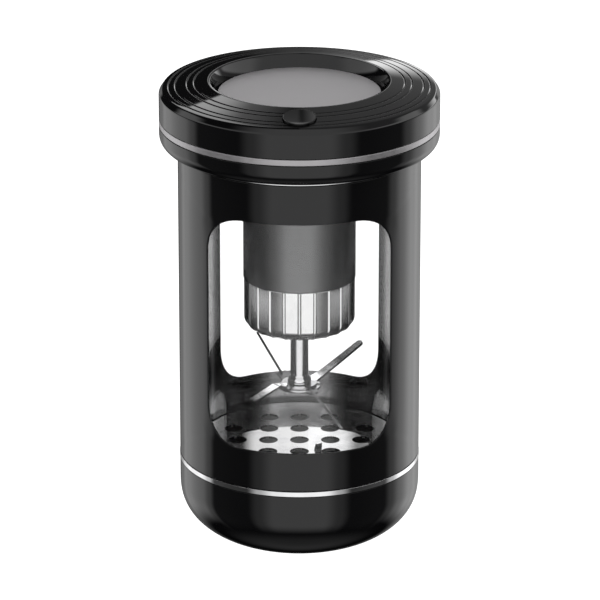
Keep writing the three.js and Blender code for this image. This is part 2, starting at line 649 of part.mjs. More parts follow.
// A flat arm: local X runs out along the arm, local Y across it, local Z is its upper face.
// The tip is rounded, or cut off square when slant is 0, or cut at an angle.
function armGeometry({ overlap, length, rootWidth, tipWidth, rounded = false, slant = 0 }) {
  const shape = new THREE.Shape();
  shape.moveTo(-overlap, -rootWidth / 2);
  if (rounded) {
    shape.lineTo(length - tipWidth / 2, -tipWidth / 2);
    shape.absarc(length - tipWidth / 2, 0, tipWidth / 2, -Math.PI / 2, Math.PI / 2, false);
  } else {
    shape.lineTo(length - slant, -tipWidth / 2);
    shape.lineTo(length, tipWidth / 2);
  }
  shape.lineTo(-overlap, rootWidth / 2);
  return plate(shape, BLADE_THICK, 6).translate(0, 0, -BLADE_THICK / 2);
}

function placeArm(geometry, from, to, azimuth, roll) {
  const along = new THREE.Vector3(to[0] - from[0], 0, to[1] - from[1]).normalize();
  const across = new THREE.Vector3(0, 1, 0);
  const up = new THREE.Vector3().crossVectors(along, across);
  const matrix = new THREE.Matrix4().makeBasis(along, across, up);
  matrix.setPosition(from[0], 0, from[1]);
  return geometry
    .rotateX(THREE.MathUtils.degToRad(roll))
    .applyMatrix4(matrix)
    .rotateZ(THREE.MathUtils.degToRad(azimuth));
}

// One stamped blade: a hub disc and two arms, each with a bend between root and tip.
function bladeGeometry(z, hubR, arms) {
  const hub = rod(hubR, z - BLADE_THICK / 2, z + BLADE_THICK / 2, 24);
  const pieces = arms.flatMap(({ azimuth, bend, tip, roll, tipWidth, rounded }) => {
    const start = [hubR - 0.2, z];
    const rootLength = Math.hypot(bend[0] - start[0], bend[1] - start[1]);
    const tipLength = Math.hypot(tip[0] - bend[0], tip[1] - bend[1]);
    const root = armGeometry({
      overlap: 0, length: rootLength + 0.3, rootWidth: BLADE_WIDTH + 0.6, tipWidth: BLADE_WIDTH,
    });
    const slant = rounded ? 0 : 1.2;
    const blade = armGeometry({
      overlap: 0.5, length: tipLength, rootWidth: BLADE_WIDTH, tipWidth, rounded, slant,
    });
    return [placeArm(root, start, bend, azimuth, 0), placeArm(blade, bend, tip, azimuth, roll)];
  });
  const hole = rod(1.4, z - 3, z + 3, SMALL_SEGMENTS);
  return cut(join(hub, ...pieces), hole);
}

const upperArms = [
  { azimuth: 35.3, bend: [6.3, 38.1], tip: [17.9, 43.4], roll: 0, tipWidth: 1.9, rounded: true },
  { azimuth: 215.3, bend: [6.2, 37.9], tip: [17.0, 34.2], roll: 0, tipWidth: 1.8, rounded: true },
];
const lowerArms = [
  { azimuth: 125.5, bend: [7.1, 37.4], tip: [17.0, 44.2], roll: 52, tipWidth: 0.9, rounded: false },
  { azimuth: 305.5, bend: [5.4, 36.4], tip: [16.0, 31.2], roll: -50, tipWidth: 0.9, rounded: false },
];

add('motor_shaft', 'steel', rod(SHAFT_R, 56.2, 92.2));
add('armature', 'copper', armatureGeometry());
add('commutator', 'copper', ring(SHAFT_R + SHAFT_PLAY, 2.4, 83.6, 87.2, SMALL_SEGMENTS));
add('spindle', 'chrome', spindleGeometry());
add('upper_blade', 'steel', bladeGeometry(UPPER_BLADE_Z, UPPER_HUB_R, upperArms));
add('lower_blade', 'steel', bladeGeometry(LOWER_BLADE_Z, LOWER_HUB_R, lowerArms));
add('blade_screw', 'steel', screwGeometry(2.3, 35.3, 36.2, 1.15, 42.8));

// ---------------------------------------------------------------- button, switch and its board
function buttonGeometry() {
  return turned([
    [0, -4.0], [1.6, -4.0], [1.6, BUTTON_FLANGE_BOTTOM], [BUTTON_FLANGE_R, BUTTON_FLANGE_BOTTOM],
    [BUTTON_FLANGE_R, BUTTON_FLANGE_TOP], [BUTTON_R, BUTTON_FLANGE_TOP],
    [BUTTON_R, BUTTON_PROUD - 0.35], [BUTTON_R - 0.35, BUTTON_PROUD], [0, BUTTON_PROUD - 0.2],
  ], 24);
}

function switchGeometry() {
  return cut(block(6.2, 6.2, 3.4, 0, 0, -6.8), rod(1.85, -6.5, -4, SMALL_SEGMENTS));
}

add('button_cap', 'black_gloss', buttonGeometry(), buttonFrame);
add('switch_plunger', 'dark_plastic', rod(1.6, -5.7, -4.15), buttonFrame);
add('tact_switch', 'dark_plastic', switchGeometry(), buttonFrame);
add('button_board', 'board', block(14, 6.4, 1.0, 0, 0, BOARD_SEAT - 0.5 - GAP / 2), buttonFrame);

// ---------------------------------------------------------------- cell, main board and wiring
function mainBoardGeometry() {
  const front = 14.3;
  const radius = 27.8;
  const shape = new THREE.Shape();
  const start = Math.asin(front / radius);
  shape.absarc(0, 0, radius, start, Math.PI - start, false);
  shape.closePath();
  const board = plate(shape, BOARD_THICK, 12).translate(0, 0, BOARD_TOP - BOARD_THICK);
  const clear = SCREW_ANGLES.slice(0, 2).map((degrees) => {
    const [x, y] = aroundAxis(SCREW_PCD_R, degrees);
    return rod(2.7, 98, 103).translate(x, y, 0);
  });
  return cut(board, ...clear);
}

function portGeometry() {
  const outside = plate(roundedRectangle(USB_WIDTH, USB_HEIGHT, 1.55), USB_LENGTH);
  const mouth = plate(roundedRectangle(USB_WIDTH - 0.6, USB_HEIGHT - 0.6, 1.25), USB_LENGTH)
    .translate(0, 0, -1.2);
  const tongue = block(6.2, 0.7, 5.6, 0, 0, 3.8);
  return shell(solid(cut(outside, mouth)).add(solid(tongue)))
    .rotateX(Math.PI / 2).translate(0, 30.8, USB_Z);
}

function leadGeometry(points, radius) {
  const path = new THREE.CatmullRomCurve3(points.map(([x, y, z]) => new THREE.Vector3(x, y, z)));
  const section = new THREE.Shape();
  section.absarc(0, 0, radius, 0, 2 * Math.PI, false);
  const steps = 2 * (points.length - 1);
  return new THREE.ExtrudeGeometry(section, {
    extrudePath: path, steps, curveSegments: 4, bevelEnabled: false,
  });
}

const cellShape = plate(roundedRectangle(34, 27, 3), 7.0);
add('battery_cell', 'cell', cellShape.translate(0, 0, 96.6));
add('main_board', 'board', mainBoardGeometry());
add('usb_port', 'steel', portGeometry());

const LEAD_R = 0.4;
const BUTTON_LEAD_R = 0.5;
const motorLead = [
  [6, 0.9, 93.2], [6, 3, 95.2], [6.4, 8, 95.85], [6.6, 14, 95.9], [6.8, 20, 97.2], [6.8, 22, 99.8],
];
const cellLead = [[3, 13.8, 102.6], [3, 15.4, 102.8], [3.2, 17, 101.4]];
const buttonLead = [
  [7.4, -24, 98.2], [13, -22.8, 97.2], [20, -15, 96.6], [23.5, -5, 96.5], [23.8, 6, 96.6],
  [21.5, 13, 97.4], [20.6, 16.4, 99.4],
];
const leftward = (points) => points.map(([x, y, z]) => [-x, y, z]);
add('motor_lead_red', 'red_wire', leadGeometry(motorLead, LEAD_R));
add('motor_lead_black', 'black_wire', leadGeometry(leftward(motorLead), LEAD_R));
add('cell_lead_red', 'red_wire', leadGeometry(cellLead, LEAD_R));
add('cell_lead_black', 'black_wire', leadGeometry(leftward(cellLead), LEAD_R));
add('button_lead', 'black_wire', leadGeometry(buttonLead, BUTTON_LEAD_R));

export default grinder;
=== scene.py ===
"""Looks for the hand-held cordless grinder: fine shells, clear tube, chrome, cutter and sieve.

Outlines are in millimetres in the part's own frame: Z up, the button on the -Y side, the foot at Z 0.
"""

import json
import math

import bmesh
import bpy
from mathutils import Matrix, Vector


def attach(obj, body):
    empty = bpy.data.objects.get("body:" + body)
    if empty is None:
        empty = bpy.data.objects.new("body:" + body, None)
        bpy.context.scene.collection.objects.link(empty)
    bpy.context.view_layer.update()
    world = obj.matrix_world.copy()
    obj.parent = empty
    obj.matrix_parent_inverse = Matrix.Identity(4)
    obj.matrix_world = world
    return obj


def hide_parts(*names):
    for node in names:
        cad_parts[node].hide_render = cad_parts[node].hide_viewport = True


MM = 0.001

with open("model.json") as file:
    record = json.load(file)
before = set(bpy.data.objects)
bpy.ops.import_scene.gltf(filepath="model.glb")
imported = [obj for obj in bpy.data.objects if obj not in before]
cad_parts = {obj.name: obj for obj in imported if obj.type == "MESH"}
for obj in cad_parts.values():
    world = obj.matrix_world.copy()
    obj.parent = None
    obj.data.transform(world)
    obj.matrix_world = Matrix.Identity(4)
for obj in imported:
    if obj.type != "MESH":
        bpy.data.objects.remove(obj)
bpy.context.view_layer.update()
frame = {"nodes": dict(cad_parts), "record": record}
scene = bpy.context.scene

# ---------------------------------------------------------------- driving dimensions, in mm
# barrel and head
BODY_R = 27.3
BORE_R = 26.85
HEAD_R = 31.4
# cup, its ring, gasket and trim
CORNER_POWER = 2.4
CUP_TOP = 19.7
CUP_FOOT_R = 12.5
CUP_CURVE_TOP = 14.8
CUP_CURVE_REACH = 24.5
CUP_CURVE_START = 1.5
CUP_BORE_R = 24.4
CUP_FLOOR = 2.6
CUP_BORE_REACH = 22
CUP_BORE_START = 2.9
CUP_BORE_TOP = 15.5
CUP_MOUTH_R = 21.6
CUP_MOUTH_BOTTOM = 18.0
SPIGOT_R = 23.7
SPIGOT_TOP = 22.55
GROOVE_R = 22.9
CUP_GROOVE_BOTTOM = 20.4
CUP_GROOVE_TOP = 21.6
CUP_RING_R = 23.4
CUP_RING_Z = 21.0
CUP_RING_HALF = 0.45
RING_STEPS = 30
GASKET_POCKET_R = 22.85
GASKET_POCKET_FLOOR = 22.0
GASKET_INNER_R = 21.7
GASKET_OUTER_R = 22.75
GASKET_BOTTOM = 22.1
GASKET_TOP = 22.6
TRIM_R = 27.36
TRIM_BOTTOM = 19.85
TRIM_TOP = 20.95
# sleeve, window and clear tube
SLEEVE_BOTTOM = 21.1
SLEEVE_TOP = 93.1
WINDOW_HALF_ANGLE = math.radians(48.6)
WINDOW_BOTTOM = 30.2
WINDOW_TOP = 84.1
WINDOW_CORNER = 8.5
UPPER_CORNER_RUN = 10.5
TUBE_OUTER_R = 26.7
TUBE_INNER_R = 24.0
TUBE_BOTTOM = 20.0
TUBE_TOP = 92.9
# seam ring and the plug under the head
SEAM_INNER_R = 24.0
SEAM_BOTTOM = 93.25
SEAM_TOP = 93.85
PLUG_R = 23.7
PLUG_INNER_R = 17.5
PLUG_SOCKET_R = 21.95
PLUG_BOTTOM = 89.3
PLUG_GROOVE_BOTTOM = 90.4
PLUG_GROOVE_TOP = 91.6
PLUG_FLOOR = 92.6
PLUG_GAP = 0.15
HEAD_RING_R = 23.42
HEAD_RING_Z = 91.0
HEAD_RING_HALF = 0.43
# head shells, band and disc
HEAD_BOTTOM = 94.0
BASE_CORNER = 3
BASE_HOLE_R = 9
BASE_FLOOR = 1.2
BASE_WALL_R = 28.6
BASE_LEDGE_R = 29.7
BASE_LEDGE_TOP = 100.9
BAND_BOTTOM = 99.1
BAND_TOP = 100.5
BAND_INNER_R = 30.2
BAND_GAP = 0.1
SHOULDER = 106.2
TOP_WALL_R = 29.9
TOP_UNDER = 104.4
CONE_R = 30.5
CONE_BOTTOM = 107.5
LIP_R = 20.4
RECESS_R = 18.5
RECESS_FLOOR = 105.6
DISC_R = 18.2
DISC_BOTTOM = 105.75
DISC_TOP = 106.35
HEAD_TOP = 109.1
CONE_TILT = math.atan2(HEAD_TOP - CONE_BOTTOM, CONE_R - LIP_R)
# button, whose heights are above the slope that it sits in, and charging port
BUTTON_R = 3.65
BUTTON_PCD_R = 25.9
BUTTON_PROUD = 0.53
BUTTON_DISH = 0.3
BUTTON_GAP = 0.15
BUTTON_STEM_R = 1.6
BUTTON_STEM_BOTTOM = -4.0
BUTTON_FLANGE_R = 4.0
BUTTON_FLANGE_BOTTOM = -2.95
BUTTON_FLANGE_TOP = -2.25
PORT_WIDTH = 9.64
PORT_HEIGHT = 3.9
PORT_CORNER = 1.9
PORT_Z = 102.8
# sieve
SIEVE_TOP = 23.2
SIEVE_THICK = 0.5
SIEVE_R = 23.7
HOLE_R = 2.15
HOLE_PITCH = 7.1
HOLE_OUTER_X = 15.4
TAB_HEIGHT = 1.5
TAB_TURN = math.radians(35)
TAB_X = 4.0
TAB_Y = -5.8
# motor housing and fluted cover
HOUSING_R = 12.7
HOUSING_INNER_R = 12.2
HOUSING_FLANGE_R = 16.5
HOUSING_FLANGE_BOTTOM = 92.4
HOUSING_TOP = 93.85
HOUSING_GAP = 0.15
COVER_R = 12.6
COVER_BOTTOM = 51.2
COVER_TOP = 63.2
COVER_FILLET = 3.0
COVER_HOLE_R = 3.9
COVER_WALL = 1.1
COVER_FLOOR = 1.4
RIBS = 22
RIB_DEPTH = 0.25
RIB_HALF = 0.42
FLAT_SHARE = 0.65
RIB_FADE_R = 6.0
RIB_FADE_RUN = 4.0
# spindle, screws and blades
SPINDLE_R = 2.1
SPINDLE_BOTTOM = 37.6
SPINDLE_FOOT_R = 2.7
SPINDLE_SCREW_BORE_R = 1.35
SPINDLE_SCREW_BORE_TOP = 43.8
SPINDLE_COLLAR_R = 4.0
SPINDLE_COLLAR_BOTTOM = 55.6
SPINDLE_COLLAR_TOP = 59.9
SPINDLE_SHAFT_BORE_R = 1.12
SPINDLE_SHAFT_BORE_BOTTOM = 55.9
SCREW_PCD_R = 19.8
SCREW_ANGLES = (60, 120, 240, 300)
SCREW_HOLE_R = 1.35
SCREW_HOLE_SPAN = (92, 97)
HEAD_SCREW = {"head_r": 1.9, "low": 91.2, "high": 92.45, "shank_r": 1.05, "tip": 102.4}
HOUSING_SCREW = {"head_r": 1.4, "low": 91.0, "high": 92.25, "shank_r": 0.75, "tip": 95.6}
HOUSING_SCREW_PCD_R = 14.8
HOUSING_SCREW_ANGLES = (30, 150, 270)
HOUSING_SCREW_HOLE_R = 1.0
HOUSING_SCREW_HOLE_SPAN = (91, 97)
TOP_BLADE_Z = 37.2
TOP_BLADE_HUB_R = 4.0
UNDER_BLADE_Z = 36.6
UNDER_BLADE_HUB_R = 4.8
BLADE_THICK = 0.5
BLADE_WIDTH = 2.4
BLADE_ROOT_WIDTH = 3.0
BLADE_EDGE = 0.07
BLADE_HOLE_R = 1.4
BLADE_SLANT = 1.2
HUB_SCREW_BOTTOM = 35.3
HUB_SCREW_HEAD_R = 2.3
HUB_SCREW_SEAT = 36.2
HUB_SCREW_R = 1.15
HUB_SCREW_TIP = 42.8
HUB_SCREW_KEY_R = 1.0
HUB_SCREW_KEY_DEPTH = 0.5

# how far edges are rounded: an ordinary one, a small one and a crisp one
ROUND = 0.18
SMALL = 0.1
CRISP = 0.05
CORNER_STEPS = 4
SHARP_ANGLE = math.radians(38)


# ---------------------------------------------------------------- mesh helpers
def soften(points, closed):
    """Rounds the corners of an outline of (r, z) or (r, z, rounding) and adds holding points."""
    count = len(points)
    result = []
    for i, point in enumerate(points):
        here = Vector(point[:2])
        reach = point[2] if len(point) > 2 else ROUND
        if (not closed and i in (0, count - 1)) or reach == 0:
            result.append(here)
            continue
        into = Vector(points[i - 1][:2]) - here
        out = Vector(points[(i + 1) % count][:2]) - here
        if into.angle(-out) < math.radians(20):
            result.append(here)
            continue
        reach = min(reach, 0.42 * into.length, 0.42 * out.length)
        start = here + into.normalized() * reach
        end = here + out.normalized() * reach
        if into.length > 4 * reach:
            result.append(start + into.normalized() * reach * 0.6)
        for k in range(CORNER_STEPS + 1):
            t = k / CORNER_STEPS
            result.append(start * (1 - t) ** 2 + here * 2 * t * (1 - t) + end * t * t)
        if out.length > 4 * reach:
            result.append(end + out.normalized() * reach * 0.6)
    return result


def arc(centre_r, centre_z, radius, start, end, steps):
    points = []
    for k in range(steps + 1):
        angle = math.radians(start + (end - start) * k / steps)
        points.append((centre_r + radius * math.cos(angle), centre_z + radius * math.sin(angle)))
    return points


def round_section(centre_r, centre_z, radius):
    """The section of a rubber ring."""
    return arc(centre_r, centre_z, radius, 0, 360 - 360 / RING_STEPS, RING_STEPS - 1)


def square_section(inner_r, outer_r, low, high, inner_rounding=ROUND, outer_rounding=ROUND):
    """The section of a plain band or tube."""
    return [
        (inner_r, low, inner_rounding), (outer_r, low, outer_rounding),
        (outer_r, high, outer_rounding), (inner_r, high, inner_rounding),
    ]


def lathe_mesh(outline, segments=160, closed=True, shape=None):
    """A bmesh turned about Z from a list of (r, z); shape(r, z, angle) may move a point."""
    bm = bmesh.new()
    rows = []
    for r, z in outline:
        if r < 1e-6:
            rows.append([bm.verts.new((0, 0, z * MM))] * segments)
            continue
        row = []
        for k in range(segments):
            angle = 2 * math.pi * k / segments
            radius, height = shape(r, z, angle) if shape else (r, z)
            row.append(bm.verts.new(
                (radius * math.cos(angle) * MM, radius * math.sin(angle) * MM, height * MM)))
        rows.append(row)
    pairs = list(zip(rows, rows[1:]))
    if closed:
        pairs.append((rows[-1], rows[0]))
    for low, high in pairs:
        for k in range(segments):
            j = (k + 1) % segments
            corners = []
            for vert in (low[k], low[j], high[j], high[k]):
                if vert not in corners:
                    corners.append(vert)
            if len(corners) > 2:
                bm.faces.new(corners)
    bmesh.ops.recalc_face_normals(bm, faces=bm.faces)
    return bm


def block_mesh(low, high):
    bm = bmesh.new()
    bmesh.ops.create_cube(bm, size=1)
    size = Vector(high) - Vector(low)
    centre = (Vector(high) + Vector(low)) / 2
    bmesh.ops.scale(bm, vec=size * MM, verts=bm.verts)
    bmesh.ops.translate(bm, vec=centre * MM, verts=bm.verts)
    return bm


def prism_mesh(outline, low, high):
    """A straight prism over a closed outline of (x, y) in mm."""
    bm = bmesh.new()
    lower = [bm.verts.new((x * MM, y * MM, low * MM)) for x, y in outline]
    upper = [bm.verts.new((x * MM, y * MM, high * MM)) for x, y in outline]
    bm.faces.new(lower[::-1])
    bm.faces.new(upper)
    count = len(outline)
    for k in range(count):
        j = (k + 1) % count
        bm.faces.new((lower[k], lower[j], upper[j], upper[k]))
    bmesh.ops.recalc_face_normals(bm, faces=bm.faces)
    return bm


def rod_mesh(radius, low, high, segments=48):
    outline = [(0, low), (radius, low), (radius, high), (0, high)]
    return lathe_mesh(outline, segments, closed=False)


def to_object(name, bm):
    mesh = bpy.data.meshes.new(name)
    bm.to_mesh(mesh)
    bm.free()
    obj = bpy.data.objects.new(name, mesh)
    scene.collection.objects.link(obj)
    return obj


def use_modifiers(obj):
    """Applies the modifiers of an object to its mesh."""
    depsgraph = bpy.context.evaluated_depsgraph_get()
    done = bpy.data.meshes.new_from_object(obj.evaluated_get(depsgraph))
    done.name = obj.name
    obj.modifiers.clear()
    obj.data = done


def combine(obj, tools, operation="DIFFERENCE"):
    """Cuts bmeshes out of an object, or joins them to it."""
    cutters = []
    for bm in tools:
        cutter = to_object("tool", bm)
        cutters.append(cutter)
        modifier = obj.modifiers.new("cut", "BOOLEAN")
        modifier.operation = operation
        modifier.solver = "EXACT"
        modifier.object = cutter
    use_modifiers(obj)
    for cutter in cutters:
        bpy.data.objects.remove(cutter)


def bevel(obj, width):
    modifier = obj.modifiers.new("bevel", "BEVEL")
    modifier.width = width * MM
    modifier.segments = 2
    modifier.limit_method = "ANGLE"
    modifier.angle_limit = math.radians(35)
    use_modifiers(obj)


def piece(obj, body, materials, replaces=()):
    """Gives a finished mesh its materials, smooth shading and body, and hides the CAD nodes that it replaces.
    """
    if not isinstance(materials, (list, tuple)):
        materials = [materials]
    kept = [polygon.material_index for polygon in obj.data.polygons]
    obj.data.materials.clear()
    for material in materials:
        obj.data.materials.append(material)
    for polygon, index in zip(obj.data.polygons, kept):
        polygon.material_index = min(index, len(materials) - 1)
        polygon.use_smooth = True
    obj.data.set_sharp_from_angle(angle=SHARP_ANGLE)
    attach(obj, body)
    if replaces:
        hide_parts(*replaces)
    return obj


def turned(name, points, body, material, replaces=(), segments=160, closed=True):
    obj = to_object(name, lathe_mesh(soften(points, closed), segments, closed))
    return piece(obj, body, material, replaces)


def around(radius, degrees):
    angle = math.radians(degrees)
    return Vector((radius * math.cos(angle), radius * math.sin(angle), 0))


def moved(bm, offset):
    bmesh.ops.translate(bm, vec=Vector(offset) * MM, verts=bm.verts)
    return bm


# ---------------------------------------------------------------- materials
SHADE_SPAN = 30.0  # the distance in mm that a colour ramp of shade_colour covers


def new_material(name):
    material = bpy.data.materials.new(name)
    material.use_nodes = True
    tree = material.node_tree
    tree.nodes.clear()
    output = tree.nodes.new("ShaderNodeOutputMaterial")
    return material, tree, output


def noise(tree, scale, stretch=None):
    coords = tree.nodes.new("ShaderNodeTexCoord")
    source = coords.outputs["Object"]
    if stretch:
        mapping = tree.nodes.new("ShaderNodeMapping")
        mapping.inputs["Scale"].default_value = stretch
        tree.links.new(source, mapping.inputs["Vector"])
        source = mapping.outputs["Vector"]
    node = tree.nodes.new("ShaderNodeTexNoise")
    node.inputs["Scale"].default_value = scale
    node.inputs["Detail"].default_value = 3.0
    tree.links.new(source, node.inputs["Vector"])
    return node.outputs["Fac"]


def spread(tree, source, low, high):
    node = tree.nodes.new("ShaderNodeMapRange")
    node.inputs["From Min"].default_value = 0.3
    node.inputs["From Max"].default_value = 0.7
    node.inputs["To Min"].default_value = low
    node.inputs["To Max"].default_value = high
    tree.links.new(source, node.inputs["Value"])
    return node.outputs["Result"]


def finish(name, colour, rough, metallic=0.0, vary=0.08, scale=400.0, bump=0.0, bump_scale=3000.0,
           stretch=None):
    """A Principled finish whose colour and roughness wander a little, with an optional fine grain."""
    material, tree, output = new_material(name)
    shader = tree.nodes.new("ShaderNodeBsdfPrincipled")
    shader.inputs["Metallic"].default_value = metallic
    shader.inputs["IOR"].default_value = 1.5
    pattern = noise(tree, scale, stretch=stretch)
    tree.links.new(spread(tree, pattern, rough * (1 - vary), rough * (1 + vary)),
                   shader.inputs["Roughness"])
    ramp = tree.nodes.new("ShaderNodeValToRGB")
    shade = vary * 0.5
    ramp.color_ramp.elements[0].position = 0.3
    ramp.color_ramp.elements[1].position = 0.7
    ramp.color_ramp.elements[0].color = [*(c * (1 - shade) for c in colour), 1]
    ramp.color_ramp.elements[1].color = [*(c * (1 + shade) for c in colour), 1]
    tree.links.new(pattern, ramp.inputs["Fac"])
    tree.links.new(ramp.outputs["Color"], shader.inputs["Base Color"])
    if bump:
        node = tree.nodes.new("ShaderNodeBump")
        node.inputs["Strength"].default_value = bump
        node.inputs["Distance"].default_value = 0.00005
        tree.links.new(noise(tree, bump_scale), node.inputs["Height"])
        tree.links.new(node.outputs["Normal"], shader.inputs["Normal"])
    tree.links.new(shader.outputs["BSDF"], output.inputs["Surface"])
    return material


def shade_colour(material, around, stops):
    """Paints light and shade into a finish's colour: scales it by (distance in mm, share) stops, from the
    axis or the middle plane.
    """
    tree = material.node_tree
    shader = next(node for node in tree.nodes if node.type == "BSDF_PRINCIPLED")
    colour = shader.inputs["Base Color"].links[0].from_socket
    coords = tree.nodes.new("ShaderNodeTexCoord")
    flat = tree.nodes.new("ShaderNodeVectorMath")
    flat.operation = "MULTIPLY"
    reach_scale = 1 / (SHADE_SPAN * MM)
    flat.inputs[1].default_value = (reach_scale, reach_scale if around else 0, 0)
    tree.links.new(coords.outputs["Object"], flat.inputs[0])
    reach = tree.nodes.new("ShaderNodeVectorMath")
    reach.operation = "LENGTH"
    tree.links.new(flat.outputs["Vector"], reach.inputs[0])
    ramp = tree.nodes.new("ShaderNodeValToRGB")
    ramp.color_ramp.interpolation = "EASE"
    elements = ramp.color_ramp.elements
    elements.remove(elements[-1])
    for i, (distance, share) in enumerate(stops):
        element = elements[0] if i == 0 else elements.new(distance / SHADE_SPAN)
        element.position = distance / SHADE_SPAN
        element.color = (share, share, share, 1)
    tree.links.new(reach.outputs["Value"], ramp.inputs["Fac"])
    product = tree.nodes.new("ShaderNodeVectorMath")
    product.operation = "MULTIPLY"
    tree.links.new(colour, product.inputs[0])
    tree.links.new(ramp.outputs["Color"], product.inputs[1])
    tree.links.new(product.outputs["Vector"], shader.inputs["Base Color"])


def clear_finish(name, ior):
    """Solid clear plastic that bends what is seen through it."""
    material, tree, output = new_material(name)
    shader = tree.nodes.new("ShaderNodeBsdfPrincipled")
    shader.inputs["Base Color"].default_value = (1, 1, 1, 1)
    shader.inputs["Transmission Weight"].default_value = 1.0
    shader.inputs["IOR"].default_value = ior
    tree.links.new(spread(tree, noise(tree, 90.0), 0.0, 0.01), shader.inputs["Roughness"])
    tree.links.new(shader.outputs["BSDF"], output.inputs["Surface"])
    return material


GLOSS = finish("gloss_black", (0.002, 0.002, 0.0022), 0.04, vary=0.05, scale=400)
# the sleeve's inside is satin metal with painted sheen: its colour is light in front and behind, painted
# black between there and the sides, and light again at the sides
INNER_PAINTED_SHEEN = finish("inner_painted_sheen", (0.42, 0.42, 0.422), 0.26, metallic=1, vary=0.03, scale=500)
shade_colour(INNER_PAINTED_SHEEN, around=False, stops=((8.0, 1.0), (11.4, 0.07), (21.0, 0.07), (23.0, 0.9)))
# the cup's inside has painted shade: its colour is pale in front and behind and painted black towards the
# sides
CUP_INSIDE_PAINTED_SHADE = finish("cup_inside_painted_shade", (0.85, 0.85, 0.852), 0.5, vary=0.03, scale=500)
shade_colour(CUP_INSIDE_PAINTED_SHADE, around=False, stops=((8.0, 1.0), (11.4, 0.05)))
HOUSING = finish("housing_black", (0.18, 0.18, 0.182), 0.25, metallic=1, vary=0.03, scale=500)
CHROME = finish("chrome_bright", (0.86, 0.86, 0.87), 0.05, metallic=1, vary=0.3, scale=120)
FLUTED = finish("chrome_satin", (0.98, 0.98, 0.98), 0.12, metallic=1, vary=0.2, scale=120)
# the blades are polished steel with painted shade: their colour is full at the hub and painted darker towards
# the tips
BLADE_PAINTED_SHADE = finish("blade_painted_shade", (0.8, 0.8, 0.81), 0.16, metallic=1, vary=0.3, scale=200,
               bump=0.15, bump_scale=1600, stretch=(1, 1, 8))
shade_colour(BLADE_PAINTED_SHADE, around=True, stops=((7.5, 1.0), (11.0, 0.3)))
SIEVE = finish("sieve_mirror", (0.95, 0.95, 0.96), 0.03, metallic=1, vary=0.4, scale=150)
LABEL = finish("label_satin", (0.39, 0.38, 0.39), 0.42, metallic=0.75, vary=0.06, scale=900,
               bump=0.15, bump_scale=6000)
BAND = finish("band_satin", (0.42, 0.41, 0.42), 0.38, metallic=0.9, vary=0.1, scale=500,
              bump=0.1, bump_scale=4000)
SCREW = finish("screw_zinc", (0.6, 0.6, 0.62), 0.3, metallic=1, vary=0.25, scale=900, bump=0.1)
MOTOR = finish("motor_steel", (0.55, 0.55, 0.56), 0.3, metallic=1, vary=0.25, scale=300, bump=0.1)
BRONZE = finish("sintered_bronze", (0.42, 0.27, 0.12), 0.45, metallic=1, vary=0.3, scale=1500, bump=0.3)
RUBBER = finish("rubber_matte", (0.02, 0.02, 0.021), 0.75, vary=0.15, scale=700, bump=0.25)
PLASTIC = finish("plastic_dark", (0.02, 0.02, 0.022), 0.45, vary=0.15, scale=500, bump=0.15)
FERRITE = finish("ferrite_grey", (0.05, 0.05, 0.055), 0.7, metallic=0.2, vary=0.25, scale=1200, bump=0.3)
COPPER = finish("enamelled_copper", (0.5, 0.2, 0.09), 0.35, metallic=1, vary=0.3, scale=1500, bump=0.3)
BOARD = finish("solder_mask", (0.012, 0.12, 0.035), 0.35, vary=0.3, scale=700, bump=0.1)
FOIL = finish("pouch_foil", (0.55, 0.56, 0.58), 0.33, metallic=0.9, vary=0.25, scale=250, bump=0.35,
              bump_scale=700)
RED = finish("wire_red", (0.42, 0.02, 0.02), 0.45, vary=0.15, scale=900, bump=0.1)
WIRE = finish("wire_black", (0.02, 0.02, 0.02), 0.45, vary=0.15, scale=900, bump=0.1)
CLEAR = clear_finish("clear_plastic", 1.49)

SLOT_FINISH = {
    "black_gloss": GLOSS,
    "rubber_black": RUBBER,
    "blade_steel": BLADE_PAINTED_SHADE,
    "sieve_steel": SIEVE,
    "chrome": CHROME,
    "clear_tube": CLEAR,
    "trim_grey": BAND,
    "label_grey": LABEL,
    "screw_steel": SCREW,
    "motor_steel": MOTOR,
    "bronze": BRONZE,
    "dark_plastic": PLASTIC,
    "ferrite": FERRITE,
    "copper": COPPER,
    "circuit_green": BOARD,
    "cell_foil": FOIL,
    "wire_red": RED,
    "wire_black": WIRE,
}
for row in frame["record"]["subparts"]:
    node = frame["nodes"][row["node"]]
    node.data.materials.clear()
    node.data.materials.append(SLOT_FINISH[row["material_slot"]])


# ---------------------------------------------------------------- cup, sieve and their rings
def base_curve(bottom, top, reach, outer, start, steps):
    """The cup's rounded side from height start up to top, a superellipse drawn in from outer by reach."""
    points = []
    for k in range(steps + 1):
        z = start + (top - start) * (1 - math.cos(0.5 * math.pi * k / steps))
        drop = max(0.0, (top - z) / (top - bottom)) ** CORNER_POWER
        points.append((outer - reach + reach * max(0.0, 1 - drop) ** (1 / CORNER_POWER), z))
    return points


